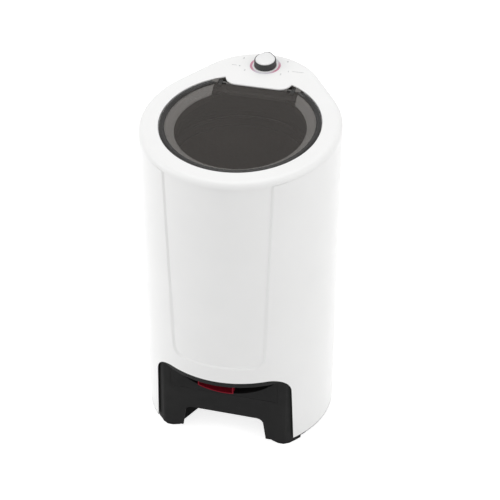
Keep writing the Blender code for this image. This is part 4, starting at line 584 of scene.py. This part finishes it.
def buildTopCover():
    bm = bmesh.new()
    planOutline(bm, cover["columns"])
    first = bm.edges[:]
    lap, lapDrop, thick, edgeRound = cover["lap"], cover["lapDrop"], cover["thickness"], cabinet["edgeRound"]
    last = cover["roundRows"]
    placeRow(bm.verts, lap, lapDrop)
    # outwards: up the lap, out to the seam, round the edge and a little way onto the deck
    turns = [math.radians(90 * k / last) for k in range(1, last + 1)]
    rim = coverRows(bm, first, lap, [(lap, edgeRound + hair), (0.0, edgeRound - hair)]
                    + [(edgeRound * (1 - math.cos(t)), edgeRound * (1 - math.sin(t))) for t in turns]
                    + [(edgeRound + cover["edgeFlat"], 0.0)])
    # inwards: the lap's inner face and the deck's underside
    under = coverRows(bm, first, lap, [(lap + thick, lapDrop), (lap + thick, edgeRound - thick),
                                       (edgeRound, thick)])
    # the mouth's rounded lip
    lip = mouth["lip"]
    rings = []
    for grow, drop in ([(lip + mouth["lipFlat"], 0.0)] + [(lip * a, lip * b) for a, b in mouth["lipRound"]]
                       + [(0.0, thick)]):
        verts, lines = mouthOutline(bm, grow)
        bmesh.ops.translate(bm, verts=verts, vec=(0, 0, -drop))
        bmesh.ops.transform(bm, matrix=deckPlace, verts=verts)
        if rings:
            bmesh.ops.bridge_loops(bm, edges=rings[-1] + lines)
        rings.append(lines)
    bmesh.ops.triangle_fill(bm, edges=rim + rings[0], use_beauty=True)
    bmesh.ops.triangle_fill(bm, edges=under + rings[-1], use_beauty=True)
    turnOut(bm)
    addPiece("deck_cover", bm, "glossWhite", "cabinet", ("top_cover",), sharp=30)


def aroundMouth(profile, steps, turn=360.0, start=0.0, closed=True):
    bm = spun(profile, steps, turn, start, closed)
    return toDeck(moveBy(bm, (0, mouth["centre"], 0)))


def buildLedge():
    # The step that the lid rests over, and at the rear a deeper well for the hinge, grey as painted shade for
    # its shaded pocket
    inner, outer, thick = mouth["ledgeRadius"], mouth["radius"], cover["thickness"]
    wall, ledge, well = outer + thick, mouth["ledge"], mouth["well"]
    turn, side = mouth["wellTurn"], mouth["wellSide"]

    def stepAt(floor):
        return [(outer, -thick - hair), (outer, -floor), (inner, -floor), (inner, -floor - thick),
                (wall, -floor - thick), (wall, -thick - hair)]

    front = aroundMouth(stepAt(ledge), mouth["ledgeSteps"], 360 - 2 * turn, 90 + turn)
    addPiece("mouth_ledge", front, "glossWhite", "cabinet", ("top_cover",), sharp=30)
    rear = aroundMouth(stepAt(well), mouth["wellSteps"], 2 * turn, 90 - turn)
    for start in (90 - turn - side, 90 + turn):
        end = aroundMouth([(inner, -ledge), (inner, -well - thick), (wall, -well - thick), (wall, -ledge)],
                          1, side, start)
        rear.from_mesh(toMesh("part", end))
    addPiece("hinge_well", rear, "hingeShadeGrey", "cabinet", ("top_cover",), sharp=30)


buildCabinet()
buildShadeLineStrip()
buildGland()
buildTopCover()
buildLedge()
print("cabinet and deck done")


# Rings between the mouth and the tub: cream collar, a band under it painted dark brown as shade, rubber
# sleeve, tub cover, balance ring

collar = {"rim": 0.1571, "rimTop": 0.0062, "rimFoot": 0.008, "hook": 0.149, "mouth": 0.1365,
          "thickness": 0.0022, "shelfTop": 0.0068, "coneDrop": 0.0164, "bandDrop": 0.0182, "skirtDrop": 0.034,
          "cutLow": (-0.091, 0.090, -0.05), "cutHigh": (0.091, 0.17, 0.01), "edge": 0.0004}


def buildCollar():
    c = collar
    slope = (c["coneDrop"] - c["shelfTop"]) / (c["hook"] - c["mouth"])
    under = c["thickness"] * math.sqrt(1 + slope * slope)
    outer, inner, bandTop = c["mouth"] + c["thickness"], c["mouth"], -c["bandDrop"] - hair
    ring = [(c["rim"], -c["rimTop"]), (c["rim"], -c["rimFoot"]), (c["hook"], -c["rimFoot"]),
            (c["hook"], -c["shelfTop"] - under), (outer, -c["coneDrop"] - under + c["thickness"] * slope),
            (outer, -c["bandDrop"]), (inner, -c["bandDrop"]), (inner, -c["coneDrop"]),
            (c["hook"], -c["shelfTop"])]
    # the band is the collar's skirt; its dark brown is painted shade for the shaded wall inside it
    band = [(outer, bandTop), (outer, -c["skirtDrop"]), (inner, -c["skirtDrop"]), (inner, bandTop)]
    for name, profile, look, slotName in (("splash_collar", ring, "mouthCream", "white_plastic"),
                                          ("collar_band", band, "skirtShadeBrown", "rubber")):
        bm = aroundMouth(profile, ringSteps)
        piece = addPiece(name, bm, look, "cabinet", ("splash_ring",))
        carve(piece, toDeck(block(c["cutLow"], c["cutHigh"])))     # leaves room for the hinge
        softenEdges(piece, c["edge"])


sleeve = {"topRadius": 0.1397, "topDrop": 0.027, "footRadius": 0.1435, "foot": 0.6686, "wall": 0.0025,
          "columns": 96, "rows": 16, "folds": 2, "foldDepth": 0.0006,
          "lipGap": 0.0012, "lipWall": 0.0016, "lipFoot": 0.6612, "lipRise": 0.003, "lipRound": 0.0005}


def placeSleeve(turns, share):
    # One row of the sleeve, from its level foot at share 0 to the tilted mouth at share 1
    s = sleeve
    footRadius, topRadius = s["footRadius"] + s["wall"], s["topRadius"] + s["wall"]
    fold = abs(s["foldDepth"] * math.sin(share * math.pi * 2 * s["folds"])) if 0 < share < 1 else 0
    for vert, turn in turns.items():
        way = Vector((math.sin(turn), -math.cos(turn), 0))
        foot = way * footRadius + Vector((0, spinY, s["foot"]))
        top = deckPlace @ (way * topRadius + Vector((0, mouth["centre"], -s["topDrop"])))
        vert.co = foot.lerp(top, share) - way * fold


def buildSleeve():
    s = sleeve
    bm = bmesh.new()
    # a circle gives each column its turn
    drawPath(bm, (0, -1, 0), [((0, 0, 0), 360, s["columns"])])
    merge(bm, 10 * weld)
    edges = bm.edges[:]
    turns = {v: math.atan2(v.co.x, -v.co.y) for v in bm.verts}
    placeSleeve(turns, 0)
    for k in range(1, s["rows"] + 1):
        edges, fresh = nextRow(bm, edges)
        below = {v: [e.other_vert(v) for e in v.link_edges if e.other_vert(v) in turns][0] for v in fresh}
        turns = {v: turns[below[v]] for v in fresh}
        placeSleeve(turns, k / s["rows"])
    faceOut(bm, spinY)
    piece = addPiece("rubber_sleeve", bm, "rubberBlack", "cabinet", ("mouth_sleeve",))
    thicken(piece, s["wall"], sharp=60)
    # a soft lip hangs from the foot, inside the tub's cover; its near black is painted shade that keeps its
    # top edge from showing the light it catches
    outer, edge = s["footRadius"] - s["lipGap"], s["lipRound"]
    inner, low, high = outer - s["lipWall"], s["lipFoot"], s["foot"] + s["lipRise"]
    lip = spun([(outer, low), (outer, high), (outer - edge, high + edge), (inner + edge, high + edge),
                (inner, high), (inner, low + edge), (inner + edge, low)], s["columns"])
    addPiece("sleeve_lip", toSpinLine(lip), "paintedShadeBlack", "cabinet", sharp=40)


tubRing = {"bore": 0.1425, "collarTop": 0.1458, "collarFoot": 0.1462, "collarRise": 0.0045, "plateEnd": 0.150,
           "plate": 0.003, "rimIn": 0.002, "rimDown": 0.0004, "topRound": 0.0008, "footRound": 0.001,
           "edge": 0.0004}
balance = {"bore": 0.134, "outerRound": [(0.0, 0.004), (0.0015, 0.0012), (0.005, 0.0)],
           "innerRound": [(0.006, 0.0), (0.0018, 0.0015), (0.0, 0.006)], "footRound": 0.002}


def ringSize(low, high):
    # A ring's outer radius, foot and top, from its box
    return (high[0] - low[0]) / 2, low[2], high[2]


def buildTubRings():
    t = tubRing
    outer, foot, top = ringSize(*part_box("tub_cover"))
    inner, plate = t["bore"], foot + t["plate"]
    bm = spun([(outer, foot), (outer, plate - t["rimDown"]), (outer - t["rimIn"], plate),
               (t["plateEnd"], plate), (t["collarFoot"], foot + t["collarRise"]), (t["collarTop"], top),
               (inner + t["topRound"], top), (inner, top - t["topRound"]), (inner, foot + t["footRound"]),
               (inner + t["footRound"], foot)], ringSteps)
    piece = addPiece("tub_lid_ring", toSpinLine(bm), "innerWhite", "cabinet", ("tub_cover",))
    softenEdges(piece, t["edge"])
    outer, foot, top = ringSize(*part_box("balance_ring"))
    inner, bevel = balance["bore"], balance["footRound"]
    bm = spun([(outer, foot)] + [(outer - inwards, top - down) for inwards, down in balance["outerRound"]]
              + [(inner + out, top - down) for out, down in balance["innerRound"]]
              + [(inner, foot + bevel), (inner + bevel, foot)], ringSteps)
    addPiece("fluid_balance_ring", toSpinLine(bm), "ringBlack", "spinner", ("balance_ring",))


buildCollar()
buildSleeve()
buildTubRings()
print("rings done")


# Spin basket, with plain bands above and below its holes and a ribbed floor of (radius, height) rings

basket = {"radius": 0.158, "foot": 0.262, "top": 0.640, "wall": 0.0012, "band": 0.006,
          "columns": 64, "rows": 28, "hole": 0.0024, "holeSides": 8,
          "floor": [(0.1545, 0.0013), (0.150, 0), (0.128, 0), (0.126, 0.002), (0.112, 0.002), (0.110, 0),
                    (0.088, 0), (0.086, 0.002), (0.072, 0.002), (0.070, 0), (0.030, 0)]}


def drawCell(bm, width, rise):
    # One cell of the wall, flat: a hole in a rectangle
    bmesh.ops.create_circle(bm, segments=basket["holeSides"], radius=basket["hole"])
    turnBy(bm, 180 / basket["holeSides"], "Z")
    hole = bm.edges[:]
    corners = bmesh.ops.create_circle(bm, segments=4, radius=math.sqrt(0.5))["verts"]
    turnBy(bm, 45, "Z", corners)
    bmesh.ops.scale(bm, verts=corners, vec=(rise, width, 1))
    bmesh.ops.subdivide_edges(bm, edges=[e for e in bm.edges if e not in hole], cuts=1)
    bmesh.ops.bridge_loops(bm, edges=hole + [e for e in bm.edges if e not in hole])


def addBand(bm, start, end):
    # Plain steel from the holes' last row to the end of the wall
    border = [e for e in bm.edges if e.is_boundary and all(abs(v.co.z - start) < 2 * hair for v in e.verts)]
    edges, verts = nextRow(bm, border)
    setHeight(verts, end)
    return edges


def buildBasket():
    b = basket
    width = 2 * b["radius"] * math.tan(math.pi / b["columns"])
    rise = (b["top"] - b["foot"] - 2 * b["band"]) / b["rows"]
    bm = bmesh.new()
    drawCell(bm, width, rise)
    # the cell stands up against the wall and is repeated upwards, then round
    turnBy(bm, -90, "Y")
    moveBy(bm, (b["radius"], 0, b["foot"] + b["band"] + rise / 2))
    cell = everything(bm)
    for k in range(1, b["rows"]):
        copy = bmesh.ops.duplicate(bm, geom=cell)["geom"]
        bmesh.ops.translate(bm, verts=vertsOf(copy), vec=(0, 0, rise * k))
    bmesh.ops.spin(bm, geom=everything(bm), cent=(0, 0, 0), axis=(0, 0, 1), angle=2 * math.pi,
                   steps=b["columns"], use_duplicate=True)
    merge(bm, 2 * weld)
    edges = addBand(bm, b["foot"] + b["band"], b["foot"])
    addBand(bm, b["top"] - b["band"], b["top"])
    for radius, height in b["floor"]:
        edges, verts = nextRow(bm, edges)
        for vert in verts:
            flat = Vector((vert.co.x, vert.co.y, 0)).normalized() * radius
            vert.co = flat + Vector((0, 0, b["foot"] + height))
    merge(bm)
    faceOut(bm, 0)
    piece = addPiece("perforated_basket", toSpinLine(bm), "brushedSteel", "spinner",
                     ("spin_basket",))
    thicken(piece, b["wall"], sharp=40)


buildBasket()
print("basket done")


# Lid: a thin smoked window and a thicker bead round it, with two ears for the hinge pins

lid = {"radius": 0.1665, "bead": 0.0085, "beadTop": 0.0005, "beadDepth": 0.0075, "flange": 0.0024,
       "innerRound": [(0.0006, 0.0009), (0.0018, 0.0001)],
       "outerRound": [(0.0030, 0.0), (0.0014, 0.0005), (0.0005, 0.0014), (0.0, 0.003)],
       "seamRound": 0.0004, "footRound": 0.0005, "plateTop": 0.003, "plate": 0.0025,
       "rear": 0.124, "undercut": 0.002, "notchGap": 0.0022, "notchCorner": 0.012,
       "windowEdge": 0.0004, "beadEdge": 0.0003, "hingeV": 0.134, "hingeW": -0.007, "pin": 0.0028,
       "earGap": 0.00025, "earWidth": 0.008, "earRadius": 0.005, "earFront": 0.016, "earTop": 0.00425,
       "earNose": 0.008, "earHeel": (0.002, 0.0048), "steps": 160, "cornerSteps": 8, "pinSteps": 32}
# The shapes cut from the lid reach this far, past its edges
cutter = {"top": 0.02, "foot": -0.03, "rear": 0.2, "half": 0.18, "bore": 0.3}


def closeAndStand(bm, low, width):
    # A closed side view drawn as (v, w) becomes a bar along x, in the deck's place
    merge(bm)
    slab(bm, width)
    upright = Matrix(((0, 0, -1, low), (1, 0, 0, 0), (0, 1, 0, 0), (0, 0, 0, 1)))
    bmesh.ops.transform(bm, verts=bm.verts, matrix=upright)
    return toDeck(bm)


def rearTool():
    # The lid's rear edge is straight and undercut, so that it swings clear of the mouth
    top, foot, far = cutter["top"], cutter["foot"], cutter["rear"]
    rear, under, edge = lid["rear"], lid["rear"] - lid["undercut"], -lid["beadTop"]
    bm = bmesh.new()
    drawPath(bm, (rear, top, 0), [
        ((rear, edge, 0), 1), ((under, edge - lid["beadDepth"], 0), 1), ((under, foot, 0), 1),
        ((far, foot, 0), 1), ((far, top, 0), 1), ((rear, top, 0), 1)])
    return closeAndStand(bm, -cutter["half"], 2 * cutter["half"])


def notchTool():
    # The lid leaves room for the deck's tongue
    half = mouth["tongueHalf"] + lid["notchGap"]
    front = mouth["tongueFront"] - lid["notchGap"]
    corner, rear = lid["notchCorner"], cutter["rear"]
    bm = bmesh.new()
    drawPath(bm, (0, rear, 0), [
        ((half, rear, 0), 1), ((half, front + corner, 0), 1),
        ((half - corner, front + corner, 0), -90, lid["cornerSteps"]), ((0, front, 0), 1)])
    mirrorAll(bm)
    slab(bm, 2 * cutter["top"])
    return toDeck(moveBy(bm, (0, 0, cutter["top"])))


def beadProfile(seam, inner, under):
    plateTop, top, foot = -lid["plateTop"], -lid["beadTop"], -lid["beadTop"] - lid["beadDepth"]
    outer, edge, bevel = lid["radius"], lid["seamRound"], lid["footRound"]
    side = inner + hair
    return ([(seam + hair, under - hair), (seam + hair, plateTop + hair), (inner - edge, plateTop + 3 * hair)]
            + [(inner + out, top - down) for out, down in lid["innerRound"]]
            + [(outer - inwards, top - down) for inwards, down in lid["outerRound"]]
            + [(outer, foot + edge), (outer - edge, foot), (side + bevel, foot), (side, foot + bevel),
               (side, under - hair)])


def earTool(low):
    # A bar that hangs behind the lid and is round where the pin goes through
    v, w, top, radius = lid["hingeV"], lid["hingeW"], -lid["earTop"], lid["earRadius"]
    front, heel = v - lid["earFront"], lid["earHeel"]
    bm = bmesh.new()
    drawPath(bm, (front, top, 0), [
        ((front, -lid["earNose"], 0), 1), ((v - heel[0], w - heel[1], 0), 2), ((v, w - radius, 0), 1),
        ((v, w, 0), 90, lid["cornerSteps"]), ((v + radius, top, 0), 1), ((front, top, 0), 1)])
    return closeAndStand(bm, low, lid["earWidth"])


def buildLid():
    inner = lid["radius"] - lid["bead"]
    seam, top = inner - lid["flange"], -lid["plateTop"]
    under = top - lid["plate"]
    plate = aroundMouth([(0, top), (seam, top), (seam, under), (0, under)], lid["steps"], closed=False)
    bead = aroundMouth(beadProfile(seam, inner, under), lid["steps"])
    window = addPiece("lid_window", plate, "smokedClear", "lid", ("lid",))
    rim = addPiece("lid_bead", bead, "smokedThick", "lid", ("lid",))
    for piece in (window, rim):
        carve(piece, notchTool())
        carve(piece, rearTool())
    start = mouth["tongueHalf"] + lid["notchGap"] + lid["earGap"]
    for low in (start, -start - lid["earWidth"]):
        carve(rim, earTool(low), "UNION")
    bore = turnBy(rod(lid["pin"], cutter["bore"], lid["pinSteps"]), 90, "Y")
    carve(rim, toDeck(moveBy(bore, (0, lid["hingeV"], lid["hingeW"]))))
    softenEdges(window, lid["windowEdge"])
    softenEdges(rim, lid["beadEdge"], angle=50)


buildLid()
print("lid done")


# Timer knob: a ribbed grip with a white cap, on the deck at this v

knob = {"v": 0.2055, "radius": 0.0243, "taper": 0.001, "lift": 0.0006, "footRound": 0.0006, "sideFoot": 0.003,
        "sideRise": 0.0112, "sideRows": 6, "skirt": 0.0157, "rim": 0.0019,
        "rimRound": [(0.0, 0.0009), (0.0003, 0.0003), (0.0009, 0.0)], "wellRound": 0.0004, "well": 0.0128,
        "bore": 0.0033, "steps": 180, "capSteps": 120,
        "ribs": 36, "ribDepth": 0.00022, "ribFoot": 0.0028, "ribTop": 0.0145,
        "height": 0.0190, "capSide": 0.0161, "capGap": 0.0003, "lean": 0.055, "leanDepth": 0.0013,
        "dome": [(0, 0), (0.3, 0.05), (0.55, 0.17), (0.78, 0.36), (0.9, 0.56), (0.97, 0.78)],
        "tab": 0.0044, "capTab": 0.0038, "tabTurn": 35.0, "tabFlat": 4.0, "tabFrom": 0.55, "tabFade": 0.3}


def toKnob(bm):
    return toDeck(moveBy(bm, (0, knob["v"], 0)))


def pushTab(bm, reachOut):
    # A rounded tab on the rear edge, where a finger pushes, and a top that leans forward from it
    k = knob
    for vert in bm.verts:
        turn = abs(math.degrees(math.atan2(vert.co.x, vert.co.y)))
        out = math.hypot(vert.co.x, vert.co.y) / k["radius"]
        if turn < k["tabTurn"] and out > k["tabFrom"]:
            share = smoothStep((k["tabTurn"] - turn) / (k["tabTurn"] - k["tabFlat"]))
            share *= smoothStep((out - k["tabFrom"]) / k["tabFade"])
            vert.co.xy *= 1 + reachOut / k["radius"] * share
        if vert.co.z > k["skirt"] - k["leanDepth"]:
            vert.co.z += k["lean"] * vert.co.y


def cutRibs(bm, rim):
    for vert in bm.verts:
        reach = math.hypot(vert.co.x, vert.co.y)
        if reach > rim - hair and knob["ribFoot"] < vert.co.z < knob["ribTop"]:
            turn = math.atan2(vert.co.x, vert.co.y)
            dip = knob["ribDepth"] * (0.5 + 0.5 * math.cos(turn * knob["ribs"]))
            vert.co.xy *= 1 - dip / reach


def buildKnob():
    k = knob
    radius, top, well, height = k["radius"], k["skirt"], k["well"], k["height"]
    rim = radius - k["taper"]
    inner = rim - k["rim"]
    rows = [t / k["sideRows"] for t in range(1, k["sideRows"] + 1)]
    side = [(radius - k["footRound"], k["lift"]), (radius, k["lift"] + k["footRound"]),
            (radius - hair, k["sideFoot"])]
    side += [(radius - k["taper"] * t, k["sideFoot"] + k["sideRise"] * t) for t in rows]
    side += [(rim - inwards, top - down) for inwards, down in k["rimRound"]]
    side += [(inner + k["wellRound"], top), (inner, top - k["wellRound"]), (inner, well), (k["bore"], well),
             (k["bore"], k["lift"])]
    grip = spun(side, k["steps"])
    cutRibs(grip, rim)
    edge, foot, fall = inner - k["capGap"], well + k["capGap"], height - k["capSide"]
    dome = [(edge * out, height - fall * down) for out, down in k["dome"]]
    cap = spun(dome + [(edge, k["capSide"] - k["capGap"]), (edge, foot), (0, foot)], k["capSteps"],
               closed=False)
    for name, bm, tab, look, slotName, node, sharp in (
            ("knob_grip", grip, k["tab"], "charcoal", "charcoal_plastic", "timer_knob", 40),
            ("knob_top", cap, k["capTab"], "capWhite", "white_plastic", "knob_cap", 50)):
        pushTab(bm, tab)
        addPiece(name, toKnob(bm), look, "knob", (node,), sharp)


# Print round the knob: a coloured ring, figures as (text, x, v) and lines as (left, right, v)

dial = {"inner": 0.0282, "outer": 0.0332, "gap": 0.00003, "print": 0.00008, "figureSize": 0.0075,
        "figures": [("5", -0.052, 0.2225), ("4", -0.054, 0.1925), ("3", -0.039, 0.179), ("2", 0.040, 0.179),
                    ("1", 0.054, 0.1925), ("0", 0.044, 0.2285)],
        "lines": [(-0.071, -0.060, 0.1935), (0.062, 0.087, 0.195)], "lineHalf": 0.0004,
        "red": (0.60, 0.25, 0.35, 1), "pale": (0.62, 0.56, 0.64, 1), "grey": (0.66, 0.66, 0.69, 1),
        "tones": [(0.14, "grey"), (0.22, "red"), (0.34, "red"), (0.42, "pale"), (0.5, "grey"), (0.58, "pale"),
                  (0.66, "red"), (0.78, "red"), (0.86, "grey")]}


def makeDialPrint():
    # Red low on each side, fading to grey over the top, by the angle about the knob. The grey at the front,
    # below the knob, is painted shade.
    finish, tree, shader = newFinish("dialPrint")
    setInputs(shader, {"Roughness": 0.4})
    where = addNode(tree, "ShaderNodeTexCoord", (-1100, 0))
    turn = addNode(tree, "ShaderNodeMapping", (-900, 0), vector_type="TEXTURE",
                   Location=deckPlace @ Vector((0, knob["v"], 0)),
                   Rotation=(math.radians(cabinet["deckTilt"]), 0, -math.pi / 2))
    sweep = addNode(tree, "ShaderNodeTexGradient", (-700, 0), gradient_type="RADIAL")
    tones = addNode(tree, "ShaderNodeValToRGB", (-500, 0))
    ramp = tones.color_ramp
    for end in ramp.elements:
        end.color = dial["grey"]
    for place, tone in dial["tones"]:
        ramp.elements.new(place).color = dial[tone]
    wire(where, "Object", turn, "Vector")
    wire(turn, "Vector", sweep, "Vector")
    wire(sweep, "Fac", tones, "Fac")
    wire(tones, "Color", shader, "Base Color")
    return finish


def figureMesh(text):
    curve = bpy.data.curves.new("figure", "FONT")
    curve.body = text
    curve.size = dial["figureSize"]
    curve.align_x = "CENTER"
    curve.align_y = "CENTER"
    curve.extrude = dial["print"] / 2
    obj = addObject("figure", curve)
    bpy.context.view_layer.update()
    mesh = meshNow(obj)
    bpy.data.objects.remove(obj, do_unlink=True)
    return mesh


def buildDial():
    looks["dialPrint"] = makeDialPrint()
    inner, outer, low, high = (dial[key] for key in ("inner", "outer", "gap", "print"))
    ring = spun([(inner, low), (outer, low), (outer, high), (inner, high)], ringSteps)
    addPiece("dial_ring", toKnob(ring), "dialPrint", "cabinet")
    marks = bmesh.new()
    for text, x, v in dial["figures"]:
        mesh = figureMesh(text)
        mesh.transform(Matrix.Translation((x, v, low + high / 2)))
        marks.from_mesh(mesh)
    for left, right, v in dial["lines"]:
        bar = block((left, v - dial["lineHalf"], low), (right, v + dial["lineHalf"], high))
        marks.from_mesh(toMesh("line", bar))
    addPiece("dial_figures", toDeck(marks), "printGrey", "cabinet")


buildKnob()
buildDial()
print("knob and dial done")


# Base, spout and other moulded parts: merged copies of the CAD solids with softened edges

softened = [("base_frame", "base_moulding", "baseBlack", "black_plastic", 0.0012),
            ("base_floor", "floor_pan", "baseBlack", "black_plastic", 0.0006),
            # the arch wall's near black is painted shade, darker than the rest of the base
            ("base_arch", "arch_wall", "paintedShadeBlack", "black_plastic", 0.0008),
            ("spout_housing", "spout_niche", "baseBlack", "black_plastic", 0.0005),
            ("drain_spout", "red_spout", "spoutRed", "red_plastic", 0.0008),
            # the hinge block takes the painted-shade grey of the hinge well
            ("hinge_bracket", "hinge_block", "hingeShadeGrey", "black_plastic", 0.0006)]
softened += [("foot_pad_" + corner, "pad_" + corner, "rubberBlack", "rubber", 0.0012)
             for corner in ("front_left", "front_right", "rear_left", "rear_right")]
edging = {"flat": 0.8, "sharp": 32, "segments": 3}


def soften(node, name, look, slotName, width):
    bm = bmesh.new()
    bm.from_mesh(nodes[node].data)
    merge(bm)
    bmesh.ops.dissolve_limit(bm, angle_limit=math.radians(edging["flat"]), verts=bm.verts, edges=bm.edges)
    piece = addPiece(name, bm, look, "cabinet", (node,), edging["sharp"])
    softenEdges(piece, width, edging["sharp"], edging["segments"])


for row in softened:
    soften(*row)
print("base done")


# Floor, light and camera

stage = {"floorSize": 14.0, "floorColour": 0.80, "floorGlow": 0.78, "worldLight": 0.70}


def buildFloor():
    bm = bmesh.new()
    bmesh.ops.create_grid(bm, x_segments=2, y_segments=2, size=stage["floorSize"] / 2)
    floor = addObject("floor", toMesh("floor", bm))
    paper, tree, shader = newFinish("palePaper")
    setInputs(shader, {"Base Color": (stage["floorColour"],) * 3 + (1,), "Roughness": 0.9,
                       "Specular IOR Level": 0.1, "Emission Color": (1, 1, 1, 1)})
    # the floor glows only where the camera, a reflection or a clear piece sees it, so it lights nothing
    path = addNode(tree, "ShaderNodeLightPath", (-900, -200))
    seen = addNode(tree, "ShaderNodeMath", (-700, -200), operation="MAXIMUM")
    seenAll = addNode(tree, "ShaderNodeMath", (-500, -200), operation="MAXIMUM")
    glow = addNode(tree, "ShaderNodeMath", (-300, -200), operation="MULTIPLY")
    glow.inputs[1].default_value = stage["floorGlow"]
    wire(path, "Is Camera Ray", seen, 0)
    wire(path, "Is Glossy Ray", seen, 1)
    wire(seen, 0, seenAll, 0)
    wire(path, "Is Transmission Ray", seenAll, 1)
    wire(seenAll, 0, glow, 0)
    wire(glow, 0, shader, "Emission Strength")
    floor.data.materials.append(paper)


def buildWorld():
    # White to the camera, and a little dimmer as light
    world = bpy.data.worlds.new("studio")
    world.use_nodes = True
    bpy.context.scene.world = world
    tree = world.node_tree
    back = tree.nodes["Background"]
    setInputs(back, {"Color": (1, 1, 1, 1)})
    path = addNode(tree, "ShaderNodeLightPath", (-700, 0))
    level = addNode(tree, "ShaderNodeMapRange", (-400, 0))
    setInputs(level, {"To Min": stage["worldLight"], "To Max": 1.0})
    wire(path, "Is Camera Ray", level, "Value")
    wire(level, "Result", back, "Strength")


lamps = [{"name": "leftSoftbox", "place": (-2.7, -1.0, 1.8), "size": 2.0, "power": 21.0},
         {"name": "overheadSoftbox", "place": (0.0, 0.3, 3.3), "size": 2.2, "power": 20},
         {"name": "rightSoftbox", "place": (2.7, -0.7, 1.7), "size": 2.0, "power": 15.5}]
lampAim = (0, 0, 0.4)
view = {"place": (0.6957, -2.5639, 2.2137), "aim": (0.0103, 0.0132, 0.3850), "lens": 106.0, "sensor": 36.0}


def pointAt(obj, place, aim):
    obj.location = place
    obj.rotation_euler = (Vector(aim) - Vector(place)).to_track_quat("-Z", "Y").to_euler()


def buildLight():
    for lamp in lamps:
        data = bpy.data.lights.new(lamp["name"], "AREA")
        data.shape = "SQUARE"
        data.size = lamp["size"]
        data.energy = lamp["power"]
        pointAt(addObject(lamp["name"], data), lamp["place"], lampAim)


def buildCamera():
    data = bpy.data.cameras.new("photoView")
    data.lens = view["lens"]
    data.sensor_width = view["sensor"]
    camera = addObject("photoView", data)
    pointAt(camera, view["place"], view["aim"])
    bpy.context.scene.camera = camera


buildFloor()
buildWorld()
buildLight()
buildCamera()
bpy.context.scene.view_settings.view_transform = "Standard"
print("stage, light and camera done")
